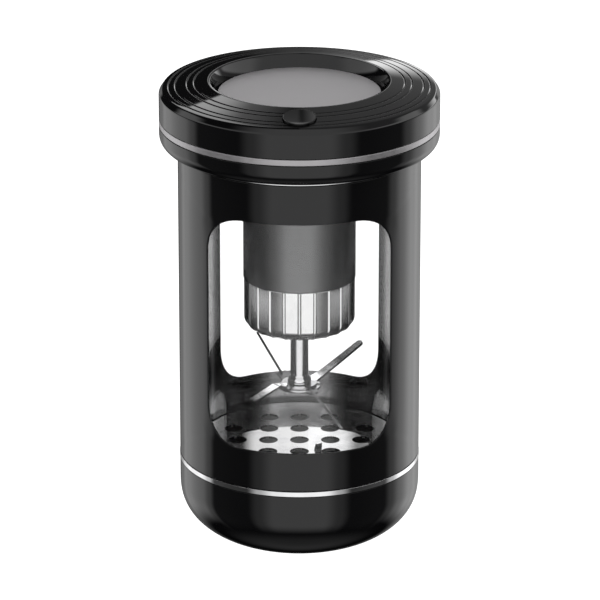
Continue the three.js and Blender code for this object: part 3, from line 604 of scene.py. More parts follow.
cup_outline = [
    (0, 0),
    (CUP_FOOT_R, 0),
    *base_curve(0, CUP_CURVE_TOP, CUP_CURVE_REACH, BODY_R, CUP_CURVE_START, 26),
    (BODY_R, CUP_TOP, SMALL),
    (SPIGOT_R, CUP_TOP, SMALL),
    (SPIGOT_R, CUP_GROOVE_BOTTOM),
    (GROOVE_R, CUP_GROOVE_BOTTOM, CRISP),
    (GROOVE_R, CUP_GROOVE_TOP, CRISP),
    (SPIGOT_R, CUP_GROOVE_TOP),
    (SPIGOT_R, SPIGOT_TOP, 0.15),
    (GASKET_POCKET_R, SPIGOT_TOP, SMALL),
    (GASKET_POCKET_R, GASKET_POCKET_FLOOR, 0.08),
    (CUP_MOUTH_R, GASKET_POCKET_FLOOR, 0.2),
    (CUP_MOUTH_R, CUP_MOUTH_BOTTOM, 0.4),
    (CUP_BORE_R, CUP_BORE_TOP, 0.6),
    *base_curve(CUP_FLOOR, CUP_CURVE_TOP, CUP_BORE_REACH, CUP_BORE_R, CUP_BORE_START, 18)[::-1],
    (0, CUP_FLOOR),
]
cup = turned("collecting_cup", cup_outline, "cup", GLOSS, ["bottom_cup"], 192, closed=False)
cup.data.materials.append(CUP_INSIDE_PAINTED_SHADE)
# faces turned inward and the floor take the inside finish with its painted shade
for face in cup.data.polygons:
    faces_inward = face.normal.x * face.center.x + face.normal.y * face.center.y < 0
    on_the_floor = face.normal.z > 0.9 and face.center.z < 2 * CUP_FLOOR * MM
    if faces_inward or on_the_floor:
        face.material_index = 1
turned("neck_o_ring", round_section(CUP_RING_R, CUP_RING_Z, CUP_RING_HALF), "cup", RUBBER,
       ["cup_o_ring"])
turned("sieve_gasket", square_section(GASKET_INNER_R, GASKET_OUTER_R, GASKET_BOTTOM, GASKET_TOP), "cup",
       RUBBER, ["sieve_seal"])
turned("cup_trim", square_section(BORE_R, TRIM_R, TRIM_BOTTOM, TRIM_TOP, SMALL, CRISP), "cup_ring",
       CHROME, ["base_trim_ring"], 192)


def sieve_holes():
    """Centres of the holes: rows as (height, half-row) that are mirrored both ways."""
    rows = (
        (0, (0, HOLE_PITCH, 2 * HOLE_PITCH)),
        (HOLE_PITCH, (0, HOLE_PITCH, HOLE_OUTER_X)),
        (2 * HOLE_PITCH, (0, HOLE_PITCH)),
    )
    places = []
    for y, row in rows:
        for x in row:
            for place in ((x, y), (-x, y), (x, -y), (-x, -y)):
                if place not in places:
                    places.append(place)
    return places


def build_sieve():
    outline = soften([(0, SIEVE_TOP - SIEVE_THICK), (SIEVE_R, SIEVE_TOP - SIEVE_THICK, SMALL),
                      (SIEVE_R, SIEVE_TOP, SMALL), (0, SIEVE_TOP)], False)
    obj = to_object("sieve", lathe_mesh(outline, 160, closed=False))
    cutters = bmesh.new()
    for x, y in sieve_holes():
        rod = moved(rod_mesh(HOLE_R, SIEVE_TOP - 1, SIEVE_TOP + 1, 48), (x, y, 0))
        mesh = bpy.data.meshes.new("rod")
        rod.to_mesh(mesh)
        rod.free()
        cutters.from_mesh(mesh)
        bpy.data.meshes.remove(mesh)
    combine(obj, [cutters])
    tab_outline = [(-0.95, -0.3), (0.9, -0.3), (1.0, TAB_HEIGHT), (-0.4, TAB_HEIGHT)]
    tab = prism_mesh(tab_outline, 0, SIEVE_THICK)
    bmesh.ops.rotate(tab, cent=(0, 0, 0), matrix=Matrix.Rotation(math.pi / 2, 3, "X"), verts=tab.verts)
    bmesh.ops.rotate(tab, cent=(0, 0, 0), matrix=Matrix.Rotation(TAB_TURN, 3, "Z"), verts=tab.verts)
    combine(obj, [moved(tab, (TAB_X, TAB_Y, SIEVE_TOP))], "UNION")
    return piece(obj, "sieve", SIEVE, ["sieve_plate"])


build_sieve()


# ---------------------------------------------------------------- sleeve with its two windows
SIDE_STEPS = 48
EDGE_STEPS = 40
SPREAD_STEPS = 8
SLEEVE_EDGE = 0.12
SLEEVE_END = 0.5


def resample(path, count):
    """count + 1 points evenly along a path of (x, y)."""
    lengths = [0.0]
    for a, b in zip(path, path[1:]):
        lengths.append(lengths[-1] + (Vector(b) - Vector(a)).length)
    result = []
    index = 0
    for k in range(count + 1):
        target = lengths[-1] * k / count
        while index < len(path) - 2 and lengths[index + 1] < target:
            index += 1
        share = (target - lengths[index]) / (lengths[index + 1] - lengths[index])
        result.append(Vector(path[index]).lerp(Vector(path[index + 1]), min(1.0, share)))
    return result


def window_loop(offset):
    """The window's edge, developed flat, grown by offset: four sides from corner to corner."""
    half = WINDOW_HALF_ANGLE * BODY_R + offset
    low = WINDOW_BOTTOM - offset
    high = WINDOW_TOP + offset
    radius = WINDOW_CORNER + offset
    run = UPPER_CORNER_RUN + offset

    def corner(side, start, end, upper=False):
        reach = run if upper else radius
        centre = (side * (half - reach), high - radius if upper else low + radius)
        return [(centre[0] + x * reach, centre[1] + z * radius) for x, z in arc(0, 0, 1, start, end, 8)]

    bottom = corner(-1, 225, 270) + corner(1, 270, 315)
    right = corner(1, 315, 360) + corner(1, 0, 45, True)
    top = corner(1, 45, 90, True) + corner(-1, 90, 135, True)
    left = corner(-1, 135, 180, True) + corner(-1, 180, 225)
    loop = []
    for side, count in ((bottom, SIDE_STEPS), (right, EDGE_STEPS), (top, SIDE_STEPS), (left, EDGE_STEPS)):
        loop.extend(resample(side, count)[:-1])
    return loop


def panel_loop(low, high):
    """The edge of half the sleeve, developed flat, with its points opposite those of window_loop."""
    half = 0.5 * math.pi * BODY_R
    corners = [(-half, low), (half, low), (half, high), (-half, high)]
    loop = []
    for i, count in enumerate((SIDE_STEPS, EDGE_STEPS, SIDE_STEPS, EDGE_STEPS)):
        loop.extend(resample([corners[i], corners[(i + 1) % 4]], count)[:-1])
    return loop


def build_sleeve():
    """Two half skins, outer and bore, each spread from its window to its border, and the two rims."""
    bm = bmesh.new()

    def ring_at(loop, radius, facing):
        row = []
        for x, z in loop:
            angle = x / BODY_R
            row.append(bm.verts.new((radius * math.sin(angle) * facing * MM,
                                     -radius * math.cos(angle) * facing * MM, z * MM)))
        return row

    def bridge(a, b, material):
        for k in range(len(a)):
            j = (k + 1) % len(a)
            face = bm.faces.new((a[k], a[j], b[j], b[k]))
            face.material_index = material

    edge = SLEEVE_EDGE
    low = SLEEVE_BOTTOM + SLEEVE_END
    high = SLEEVE_TOP - SLEEVE_END
    for facing in (1, -1):
        mouths = []
        for radius, material in ((BODY_R, 0), (BORE_R, 1)):
            outer = panel_loop(low, high)
            near = window_loop(2 * edge)
            rows = []
            for k in range(SPREAD_STEPS + 1):
                t = k / SPREAD_STEPS
                rows.append(ring_at([a.lerp(b, t) for a, b in zip(outer, near)], radius, facing))
            for a, b in zip(rows, rows[1:]):
                bridge(a, b, material)
            sign = -1 if material == 0 else 1
            last = rows[-1]
            for k in range(CORNER_STEPS + 1):
                t = 0.5 * math.pi * k / CORNER_STEPS
                row = ring_at(window_loop(edge * (1 - math.sin(t))),
                              radius + sign * edge * (1 - math.cos(t)), facing)
                bridge(last, row, material)
                last = row
            inner = ring_at(window_loop(0), radius + sign * 1.6 * edge, facing)
            bridge(last, inner, 0)
            mouths.append(inner)
        bridge(mouths[0], mouths[1], 0)
    ends = (
        [(BODY_R, low), (BODY_R, SLEEVE_BOTTOM, edge), (BORE_R, SLEEVE_BOTTOM, edge), (BORE_R, low)],
        [(BODY_R, high), (BODY_R, SLEEVE_TOP, edge), (BORE_R, SLEEVE_TOP, edge), (BORE_R, high)],
    )
    half = [x / BODY_R for x, z in panel_loop(0, 1)[:SIDE_STEPS]]
    angles = [a - math.pi / 2 for a in half] + [a + math.pi / 2 for a in half]
    for outline in ends:
        rows = []
        for r, z in soften(outline, False):
            rows.append([bm.verts.new((r * math.cos(a) * MM, r * math.sin(a) * MM, z * MM)) for a in angles])
        for a, b in zip(rows, rows[1:]):
            bridge(a, b, 0)
    bmesh.ops.remove_doubles(bm, verts=bm.verts, dist=2e-6)
    bmesh.ops.recalc_face_normals(bm, faces=bm.faces)
    obj = to_object("sleeve", bm)
    # the bore takes the inner finish, whose colour carries painted sheen
    return piece(obj, "chamber", [GLOSS, INNER_PAINTED_SHEEN], ["body_sleeve"])


build_sleeve()
turned("clear_tube", square_section(TUBE_INNER_R, TUBE_OUTER_R, TUBE_BOTTOM, TUBE_TOP), "chamber",
       CLEAR, ["window_tube"], 224)
turned("head_seam", square_section(SEAM_INNER_R, BODY_R, SEAM_BOTTOM, SEAM_TOP, 0.08, CRISP), "head_ring",
       CHROME, ["seam_ring"], 192)


# ---------------------------------------------------------------- head
def cone_height(r):
    """The height of the sloping top face at a radius."""
    return CONE_BOTTOM + (CONE_R - r) * math.tan(CONE_TILT)


GROOVES = (29.2, 27.7, 25.1, 23.5)
GROOVE_HALF = 0.22
GROOVE_DEPTH = 0.16
BUTTON_PLACE = Matrix.Translation(Vector((0, -BUTTON_PCD_R, cone_height(BUTTON_PCD_R))) * MM)
BUTTON_PLACE @= Matrix.Rotation(CONE_TILT, 4, "X")


def top_points():
    """The head's upper shell: its hollow underside, its rim, the grooved slope and the recess on top."""
    grooves = []
    for r in GROOVES:
        grooves.append((r + GROOVE_HALF, cone_height(r + GROOVE_HALF), 0.06))
        grooves.append((r, cone_height(r) - GROOVE_DEPTH, CRISP))
        grooves.append((r - GROOVE_HALF, cone_height(r - GROOVE_HALF), 0.06))
    under = [(0, TOP_UNDER), (18.8, TOP_UNDER), (20.2, 107.2), (29.2, 105.8), (TOP_WALL_R, 105.1)]
    rim = [(TOP_WALL_R, BAND_TOP + BAND_GAP, SMALL), (HEAD_R, BAND_TOP + BAND_GAP, 0.12)]
    slope = [(HEAD_R, SHOULDER, 0.25), (CONE_R, CONE_BOTTOM, 0.3), *grooves, (LIP_R, HEAD_TOP, 0.25)]
    recess = [(20.0, HEAD_TOP - 0.1, SMALL), (18.6, 106.3, 0.3), (RECESS_R, RECESS_FLOOR, SMALL)]
    return [*under, *rim, *slope, *recess, (0, RECESS_FLOOR)]


def slot_outline(width, height, corner):
    """A rectangle with round corners about the origin."""
    points = []
    for x, y, start in ((1, -1, 270), (1, 1, 0), (-1, 1, 90), (-1, -1, 180)):
        centre = (x * (width / 2 - corner), y * (height / 2 - corner))
        points.extend(arc(*centre, corner, start, start + 90, 8))
    return points


def upright(bm, y, z):
    """Turns a prism drawn in XY to lie along Y, ends it at y and lifts it to z."""
    bmesh.ops.rotate(bm, cent=(0, 0, 0), matrix=Matrix.Rotation(math.pi / 2, 3, "X"), verts=bm.verts)
    return moved(bm, (0, y, z))


def build_top_shell():
    obj = to_object("head_top", lathe_mesh(soften(top_points(), False), 224, closed=False))
    hole = rod_mesh(BUTTON_R + BUTTON_GAP, -2.2, 4, 96)
    hole.transform(BUTTON_PLACE)
    port = upright(prism_mesh(slot_outline(PORT_WIDTH, PORT_HEIGHT, PORT_CORNER), 0, 6), 34, PORT_Z)
    combine(obj, [hole, port])
    return piece(obj, "head", GLOSS, ["head_top_shell"])


build_top_shell()


def holed(name, points, holes, material, replaces, segments=160):
    """A turned piece of the head with round holes as (radius, place, low, high)."""
    obj = to_object(name, lathe_mesh(soften(points, True), segments))
    cutters = []
    for radius, place, low, high in holes:
        cutters.append(moved(rod_mesh(radius, low, high, 32), place))
    combine(obj, cutters)
    return piece(obj, "head", material, replaces)


base_points = [
    (BASE_HOLE_R, HEAD_BOTTOM),
    *arc(HEAD_R - BASE_CORNER, HEAD_BOTTOM + BASE_CORNER, BASE_CORNER, -90, 0, 14),
    (HEAD_R, BAND_BOTTOM - BAND_GAP, 0.12),
    (BASE_LEDGE_R, BAND_BOTTOM - BAND_GAP, SMALL),
    (BASE_LEDGE_R, BASE_LEDGE_TOP),
    (BASE_WALL_R, BASE_LEDGE_TOP),
    (BASE_WALL_R, HEAD_BOTTOM + 2 * BASE_FLOOR),
    (BASE_WALL_R - BASE_FLOOR, HEAD_BOTTOM + BASE_FLOOR),
    (BASE_HOLE_R, HEAD_BOTTOM + BASE_FLOOR),
]
head_holes = [(SCREW_HOLE_R, around(SCREW_PCD_R, a), *SCREW_HOLE_SPAN) for a in SCREW_ANGLES]
housing_holes = [
    (HOUSING_SCREW_HOLE_R, around(HOUSING_SCREW_PCD_R, a), *HOUSING_SCREW_HOLE_SPAN)
    for a in HOUSING_SCREW_ANGLES
]
holed("head_base", base_points, head_holes + housing_holes, GLOSS, ["head_base_shell"], 192)
turned("head_band", square_section(BAND_INNER_R, HEAD_R, BAND_BOTTOM, BAND_TOP, CRISP, 0.15), "head",
       BAND, ["head_trim_band"], 224)
disc_points = [(0, DISC_BOTTOM), (DISC_R, DISC_BOTTOM, CRISP), (DISC_R, DISC_TOP, 0.12), (0, DISC_TOP)]
turned("top_disc", disc_points, "head", LABEL, ["label_disc"], 192, closed=False)
plug_points = [
    (PLUG_INNER_R, PLUG_FLOOR),
    (PLUG_SOCKET_R, PLUG_FLOOR),
    (PLUG_SOCKET_R, PLUG_BOTTOM, 0.2),
    (PLUG_R, PLUG_BOTTOM, 0.2),
    (PLUG_R, PLUG_GROOVE_BOTTOM, 0.08),
    (GROOVE_R, PLUG_GROOVE_BOTTOM, CRISP),
    (GROOVE_R, PLUG_GROOVE_TOP, CRISP),
    (PLUG_R, PLUG_GROOVE_TOP, 0.08),
    (PLUG_R, HEAD_BOTTOM - PLUG_GAP),
    (PLUG_INNER_R, HEAD_BOTTOM - PLUG_GAP),
]
holed("head_neck", plug_points, head_holes, PLASTIC, ["head_plug"])
turned("head_seal_ring", round_section(HEAD_RING_R, HEAD_RING_Z, HEAD_RING_HALF), "head",
       RUBBER, ["head_o_ring"])


def build_button():
    points = soften([
        (0, BUTTON_STEM_BOTTOM),
        (BUTTON_STEM_R, BUTTON_STEM_BOTTOM),
        (BUTTON_STEM_R, BUTTON_FLANGE_BOTTOM),
        (BUTTON_FLANGE_R, BUTTON_FLANGE_BOTTOM),
        (BUTTON_FLANGE_R, BUTTON_FLANGE_TOP),
        (BUTTON_R, BUTTON_FLANGE_TOP),
        (BUTTON_R, BUTTON_PROUD, 0.12),
        (0, BUTTON_PROUD - BUTTON_DISH),
    ], False)
    obj = to_object("push_button", lathe_mesh(points, 128, closed=False))
    obj.data.transform(BUTTON_PLACE)
    return piece(obj, "button", GLOSS, ["button_cap"])


build_button()


# ---------------------------------------------------------------- motor housing and fluted cover
housing_points = [
    (HOUSING_INNER_R, COVER_TOP + HOUSING_GAP, CRISP),
    (HOUSING_R, COVER_TOP + HOUSING_GAP, 0.12),
    (HOUSING_R, HOUSING_FLANGE_BOTTOM, 0.4),
    (HOUSING_FLANGE_R, HOUSING_FLANGE_BOTTOM),
    (HOUSING_FLANGE_R, HOUSING_TOP, CRISP),
    (HOUSING_INNER_R, HOUSING_TOP, CRISP),
]
holed("motor_shell", housing_points, housing_holes, HOUSING, ["motor_housing"], 128)


def rib_shape(r, z, angle):
    """Flats between narrow half-round ribs, fading out towards the closed end of the cover."""
    if r < RIB_FADE_R:
        return r, z
    pitch = 2 * math.pi / RIBS
    away = (angle + math.pi / 2) % pitch
    away = min(away, pitch - away) * COVER_R
    flat = math.cos(0.5 * pitch) / math.cos(abs(away / COVER_R - 0.5 * pitch))
    lift = math.sqrt(max(0.0, 1 - (away / RIB_HALF) ** 2)) * RIB_DEPTH
    level = 1 - FLAT_SHARE + FLAT_SHARE * flat
    return r * level + lift * min(1.0, (r - RIB_FADE_R) / RIB_FADE_RUN), z


def build_cover():
    root = COVER_R - RIB_DEPTH
    fillet_z = COVER_BOTTOM + COVER_FILLET
    outline = soften([
        (COVER_HOLE_R, COVER_BOTTOM, SMALL),
        *arc(root - COVER_FILLET, fillet_z, COVER_FILLET, -90, 0, 12),
        (root, COVER_TOP, 0.15),
        (root - COVER_WALL, COVER_TOP, SMALL),
        (root - COVER_WALL, fillet_z),
        (root - 2.7, COVER_BOTTOM + COVER_FLOOR),
        (COVER_HOLE_R, COVER_BOTTOM + COVER_FLOOR),
    ], True)

    def shape(r, z, angle):
        inside = r < root - 0.9 and z > COVER_BOTTOM + 1.0
        return (r, z) if inside else rib_shape(r, z, angle)

    obj = to_object("ribbed_cover", lathe_mesh(outline, RIBS * 24, shape=shape))
    return piece(obj, "head", FLUTED, ["fluted_cover"])


build_cover()


def cross_screw(name, place, replaces, head_r, low, high, shank_r, tip):
    """A pan head screw, head down, with a cross recess."""
    points = soften([(0, low), (head_r, low, 0.45), (head_r, high, SMALL), (shank_r, high, CRISP),
                     (shank_r, tip, 0.2), (0, tip)], False)
    obj = to_object(name, lathe_mesh(points, 48, closed=False))
    long_half = head_r * 0.55
    short_half = head_r * 0.13
    depth = (high - low) * 0.55
    cutters = [
        block_mesh((-long_half, -short_half, low - 1), (long_half, short_half, low + depth)),
        block_mesh((-short_half, -long_half, low - 1), (short_half, long_half, low + depth)),
    ]
    combine(obj, cutters)
    obj.data.transform(Matrix.Translation(Vector(place) * MM))
    return piece(obj, "head", SCREW, [replaces])


for i, degrees in enumerate(SCREW_ANGLES):
    cross_screw(f"neck_screw_{i + 1}", around(SCREW_PCD_R, degrees), f"head_screw_{i + 1}", **HEAD_SCREW)
for i, degrees in enumerate(HOUSING_SCREW_ANGLES):
    cross_screw(f"shell_screw_{i + 1}", around(HOUSING_SCREW_PCD_R, degrees), f"housing_screw_{i + 1}",
                **HOUSING_SCREW)

# ---------------------------------------------------------------- cutter
spindle_points = [
    (SPINDLE_SCREW_BORE_R, SPINDLE_BOTTOM),
    (SPINDLE_FOOT_R, SPINDLE_BOTTOM, 0.15),
    (SPINDLE_FOOT_R, SPINDLE_BOTTOM + 0.9, 0.25),
    (SPINDLE_R, SPINDLE_BOTTOM + 1.7, 0.2),
    (SPINDLE_R, SPINDLE_COLLAR_BOTTOM),
    (SPINDLE_COLLAR_R, SPINDLE_COLLAR_BOTTOM),
    (SPINDLE_COLLAR_R, SPINDLE_COLLAR_TOP),
    (SPINDLE_SHAFT_BORE_R, SPINDLE_COLLAR_TOP),
    (SPINDLE_SHAFT_BORE_R, SPINDLE_SHAFT_BORE_BOTTOM),
    (0, SPINDLE_SHAFT_BORE_BOTTOM),
    (0, SPINDLE_SCREW_BORE_TOP),
    (SPINDLE_SCREW_BORE_R, SPINDLE_SCREW_BORE_TOP),
]
turned("cutter_spindle", spindle_points, "rotor", CHROME, ["spindle"], 96)

# Each arm runs out to a bend and on to its tip, both (radius, height), where it may be rolled about its
# own length.
UPPER_ARMS = (
    {"azimuth": 35.3, "bend": (6.3, 38.1), "tip": (17.9, 43.4), "roll": 0, "width": 1.9, "round": True},
    {"azimuth": 215.3, "bend": (6.2, 37.9), "tip": (17.0, 34.2), "roll": 0, "width": 1.8, "round": True},
)
LOWER_ARMS = (
    {"azimuth": 125.5, "bend": (7.1, 37.4), "tip": (17.0, 44.2), "roll": 52, "width": 0.9, "round": False},
    {"azimuth": 305.5, "bend": (5.4, 36.4), "tip": (16.0, 31.2), "roll": -50, "width": 0.9, "round": False},
)


def arm_mesh(start, end, azimuth, roll, overlap, extra, root, tip, rounded, slant):
    """A strip between two (radius, height) points, root wide at first and tip wide last.

    It starts overlap early and ends extra late, with a round or a slanted end.
    """
    length = math.hypot(end[0] - start[0], end[1] - start[1]) + extra
    outline = [(-overlap, -root / 2)]
    if rounded:
        outline.extend(arc(length - tip / 2, 0, tip / 2, -90, 90, 14))
    else:
        outline.extend([(length - slant, -tip / 2), (length, tip / 2)])
    outline.append((-overlap, root / 2))
    bm = prism_mesh(outline, -BLADE_THICK / 2, BLADE_THICK / 2)
    along = Vector((end[0] - start[0], 0, end[1] - start[1])).normalized()
    across = Vector((0, 1, 0))
    up = along.cross(across)
    basis = Matrix((along, across, up)).transposed().to_4x4()
    place = Matrix.Rotation(math.radians(azimuth), 4, "Z")
    place @= Matrix.Translation(Vector((start[0], 0, start[1])) * MM) @ basis
    place @= Matrix.Rotation(math.radians(roll), 4, "X")
    bm.transform(place)
    return bm


def build_blade(name, z, hub_r, arms, replaces):
    """A hub with bent arms; weighted normals keep the flats flat where the edges are rounded."""
    obj = to_object(name, rod_mesh(hub_r, z - BLADE_THICK / 2, z + BLADE_THICK / 2, 64))
    tools = []
    for arm in arms:
        start = (hub_r - 0.2, z)
        slant = 0 if arm["round"] else BLADE_SLANT
        tools.append(arm_mesh(start, arm["bend"], arm["azimuth"], roll=0, overlap=0, extra=0.3,
                              root=BLADE_ROOT_WIDTH, tip=BLADE_WIDTH, rounded=False, slant=0))
        tools.append(arm_mesh(arm["bend"], arm["tip"], arm["azimuth"], roll=arm["roll"], overlap=0.5, extra=0,
                              root=BLADE_WIDTH, tip=arm["width"], rounded=arm["round"], slant=slant))
    combine(obj, tools, "UNION")
    combine(obj, [rod_mesh(BLADE_HOLE_R, z - 3, z + 3, 32)])
    bevel(obj, BLADE_EDGE)
    piece(obj, "rotor", BLADE_PAINTED_SHADE, [replaces])
    flats = obj.modifiers.new("flats", "WEIGHTED_NORMAL")
    flats.keep_sharp = True
    flats.weight = 100
    use_modifiers(obj)


build_blade("top_blade", TOP_BLADE_Z, TOP_BLADE_HUB_R, UPPER_ARMS, "upper_blade")
build_blade("under_blade", UNDER_BLADE_Z, UNDER_BLADE_HUB_R, LOWER_ARMS, "lower_blade")


def build_blade_screw():
    points = soften([
        (0, HUB_SCREW_BOTTOM),
        (HUB_SCREW_HEAD_R, HUB_SCREW_BOTTOM, 0.3),
        (HUB_SCREW_HEAD_R, HUB_SCREW_SEAT, SMALL),
        (HUB_SCREW_R, HUB_SCREW_SEAT, CRISP),
        (HUB_SCREW_R, HUB_SCREW_TIP, 0.2),
        (0, HUB_SCREW_TIP),
    ], False)
    obj = to_object("hub_screw", lathe_mesh(points, 64, closed=False))
    key_top = HUB_SCREW_BOTTOM + HUB_SCREW_KEY_DEPTH
    combine(obj, [rod_mesh(HUB_SCREW_KEY_R, HUB_SCREW_BOTTOM - 0.7, key_top, 6)])
    return piece(obj, "rotor", BLADE_PAINTED_SHADE, ["blade_screw"])


build_blade_screw()

# ---------------------------------------------------------------- floor, studio and camera
scene.view_settings.view_transform = "Standard"
scene.view_settings.look = "None"

FLOOR_HALF = 20
FLOOR_GLOW = 1.4
FLOOR_GLOW_SHARE = 0.86


def build_floor():
    """A pale floor that glows a little, so that the backdrop stays even under the soft light."""
    bm = bmesh.new()
    bmesh.ops.create_grid(bm, x_segments=1, y_segments=1, size=FLOOR_HALF)
    obj = to_object("floor", bm)
    material, tree, output = new_material("floor_white")
    matte = tree.nodes.new("ShaderNodeBsdfDiffuse")
    matte.inputs["Color"].default_value = (0.8, 0.8, 0.8, 1)
    glow = tree.nodes.new("ShaderNodeEmission")
    glow.inputs["Color"].default_value = (1, 1, 1, 1)
    glow.inputs["Strength"].default_value = FLOOR_GLOW
    mix = tree.nodes.new("ShaderNodeMixShader")
    mix.inputs[0].default_value = FLOOR_GLOW_SHARE
    tree.links.new(matte.outputs[0], mix.inputs[1])
    tree.links.new(glow.outputs[0], mix.inputs[2])
    tree.links.new(mix.outputs[0], output.inputs["Surface"])
    obj.data.materials.append(material)
    obj.visible_glossy = False
    obj.visible_transmission = False


build_floor()

# The studio that the object mirrors. Angles are in degrees: turn goes round the object, from the camera's
# side below the horizon and from the far side above it, and rise goes up from the horizon.
# Below the horizon there are boxes in front, on the left and on the right, as (turn, level).
STUDIO_GAIN = 2.4
LOW_STOPS = (
    (-180, 0.1), (-168, 0.2), (-155, 0.5), (-142, 1.2), (-130, 1.5), (-108, 1.5), (-98, 0.8), (-90, 0.07),
    (-52, 0.04), (-40, 0.5), (-24, 1.2), (24, 1.2), (40, 0.5), (52, 0.04), (90, 0.07), (100, 0.6),
    (114, 1.5), (130, 2.0), (142, 1.5), (160, 0.7), (172, 0.3), (180, 0.1),
)
# The boxes fade in over these rises on the camera's side and on the far side, which meet over FAR_BLEND, a
# share of the way to the far side. The floor glows below them.
NEAR_FADE = (-57, -33)
FAR_FADE = (-46, -26)
FAR_BLEND = (-0.2, 0.2)
FLOOR_FADE = (-50, -78)
FLOOR_LEVEL = 0.2
# Above the horizon, on the far side, the wall is dark on the left and grey on the right.
WALL_TURN = (-1, 1)
WALL_LEAST = 0.01
WALL_STEP = 0.3
# Cards on it, as turn and rise (from, full from, full to, to) and level: one in the middle, a high one on
# the left with a brighter part and a low one on the right.
HIGH_RISE = (26, 26.6, 48, 60)
CARDS = (
    ((-4, -2.5, 2.5, 4), (12, 15, 26, 30), 0.95),
    ((-26, -21, -8, 1), HIGH_RISE, 0.9),
    ((-26, -21, -7.5, -5), HIGH_RISE, 1.7),
    ((1.8, 2.8, 45, 58), (3.6, 4.8, 6, 15), 2.6),
)
# There is a pale card on each flank, from this turn on.
FLANK_TURN = (55, 65)
FLANK_RISE = (8, 12, 28, 34)
FLANK_LEVEL = 1.5
# On the camera's side there is one even wall.
NEAR_BLEND = (-0.25, -0.6)
NEAR_LEVEL = 1.1
# What is seen directly or lit diffusely gets this level from everywhere.
PLAIN_LEVEL = 1.35


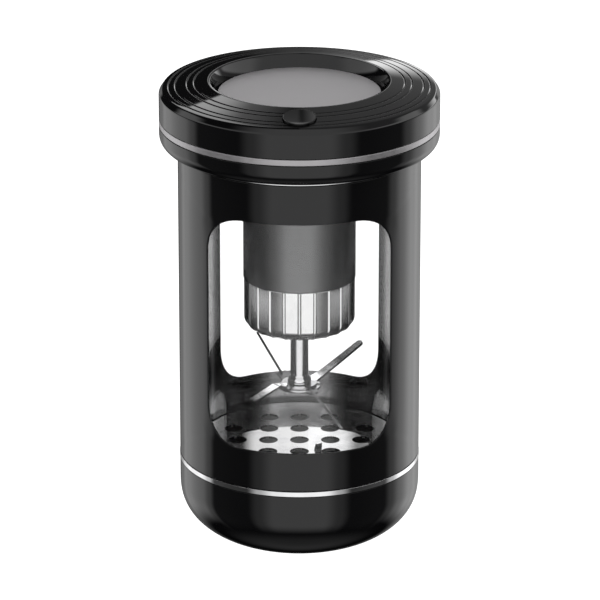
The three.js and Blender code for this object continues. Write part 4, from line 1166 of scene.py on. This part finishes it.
def build_world():
    """Plain even light for what is seen directly, and the studio for what is mirrored."""
    world = bpy.data.worlds.new("studio")
    scene.world = world
    world.use_nodes = True
    tree = world.node_tree
    tree.nodes.clear()

    def math_node(operation, a, b=None, c=None):
        node = tree.nodes.new("ShaderNodeMath")
        node.operation = operation
        for socket, value in zip(node.inputs, (a, b, c)):
            if value is None:
                continue
            if isinstance(value, (int, float)):
                socket.default_value = value
            else:
                tree.links.new(value, socket)
        return node.outputs[0]

    def product(a, b):
        return math_node("MULTIPLY", a, b)

    def add_share(value, share, total):
        return math_node("MULTIPLY_ADD", value, share, total)

    def smooth(value, low, high):
        node = tree.nodes.new("ShaderNodeMapRange")
        node.interpolation_type = "SMOOTHSTEP"
        node.inputs["From Min"].default_value = low
        node.inputs["From Max"].default_value = high
        tree.links.new(value, node.inputs["Value"])
        return node.outputs["Result"]

    def smooth_angle(value, low, high):
        return smooth(value, math.radians(low), math.radians(high))

    def between(value, stops):
        start, full_start, full_end, end = stops
        return product(smooth_angle(value, start, full_start), smooth_angle(value, end, full_end))

    coords = tree.nodes.new("ShaderNodeTexCoord")
    split = tree.nodes.new("ShaderNodeSeparateXYZ")
    tree.links.new(coords.outputs["Generated"], split.inputs[0])
    x, y, z = split.outputs
    low_turn = math_node("ARCTAN2", x, product(y, -1))
    ramp = tree.nodes.new("ShaderNodeValToRGB")
    ramp.color_ramp.interpolation = "EASE"
    elements = ramp.color_ramp.elements
    elements.remove(elements[-1])
    for i, (degrees, level) in enumerate(LOW_STOPS):
        position = degrees / 360 + 0.5
        element = elements[0] if i == 0 else elements.new(position)
        element.position = position
        element.color = [level / STUDIO_GAIN] * 3 + [1]
    tree.links.new(add_share(low_turn, 1 / (2 * math.pi), 0.5), ramp.inputs["Fac"])
    flat = math_node("SQRT", math_node("ADD", product(x, x), product(y, y)))
    rise = math_node("ARCTAN2", z, flat)
    near_fade = smooth_angle(rise, *NEAR_FADE)
    far_fade = smooth_angle(rise, *FAR_FADE)
    fade = add_share(smooth(y, *FAR_BLEND), math_node("SUBTRACT", far_fade, near_fade), near_fade)
    low_level = product(product(ramp.outputs["Color"], STUDIO_GAIN), fade)
    low_level = add_share(smooth_angle(rise, *FLOOR_FADE), FLOOR_LEVEL, low_level)

    high_turn = math_node("ARCTAN2", x, y)
    high_level = add_share(smooth_angle(high_turn, *WALL_TURN), WALL_STEP, WALL_LEAST)
    for turn_stops, rise_stops, level in CARDS:
        card = product(between(high_turn, turn_stops), between(rise, rise_stops))
        high_level = add_share(card, level, high_level)
    flank = product(between(rise, FLANK_RISE), smooth_angle(math_node("ABSOLUTE", high_turn), *FLANK_TURN))
    high_level = add_share(flank, FLANK_LEVEL, high_level)
    near_share = smooth(y, *NEAR_BLEND)
    high_level = product(high_level, math_node("SUBTRACT", 1.0, near_share))
    high_level = add_share(near_share, NEAR_LEVEL, high_level)
    high_share = smooth_angle(rise, -2, 2)
    mirrored = product(low_level, math_node("SUBTRACT", 1.0, high_share))
    mirrored = add_share(high_level, high_share, mirrored)

    rays = tree.nodes.new("ShaderNodeLightPath")
    glossy = math_node("GREATER_THAN", rays.outputs["Glossy Depth"], 0.5)
    mirror = tree.nodes.new("ShaderNodeBackground")
    tree.links.new(mirrored, mirror.inputs["Strength"])
    plain = tree.nodes.new("ShaderNodeBackground")
    plain.inputs["Color"].default_value = (1, 1, 1, 1)
    plain.inputs["Strength"].default_value = PLAIN_LEVEL
    mix = tree.nodes.new("ShaderNodeMixShader")
    tree.links.new(glossy, mix.inputs[0])
    tree.links.new(plain.outputs[0], mix.inputs[1])
    tree.links.new(mirror.outputs[0], mix.inputs[2])
    output = tree.nodes.new("ShaderNodeOutputWorld")
    tree.links.new(mix.outputs[0], output.inputs["Surface"])


build_world()

# in metres, as the scene is; the lens and its sensor are in mm
CAMERA_RISE = math.radians(20.521)
CAMERA_DISTANCE = 1.061055
CAMERA_TARGET = Vector((0, 0, 0.04666))
CAMERA_LENS = 280.12
CAMERA_SHIFT = (0.00093, 0.0704)


def build_camera():
    data = bpy.data.cameras.new("camera")
    data.sensor_width = 36
    data.lens = CAMERA_LENS
    data.shift_x, data.shift_y = CAMERA_SHIFT
    data.clip_start = 0.01
    data.clip_end = 50
    camera = bpy.data.objects.new("camera", data)
    scene.collection.objects.link(camera)
    away = Vector((0, -math.cos(CAMERA_RISE), math.sin(CAMERA_RISE)))
    camera.location = CAMERA_TARGET + away * CAMERA_DISTANCE
    camera.rotation_euler = (-away).to_track_quat("-Z", "Y").to_euler()
    scene.camera = camera


build_camera()
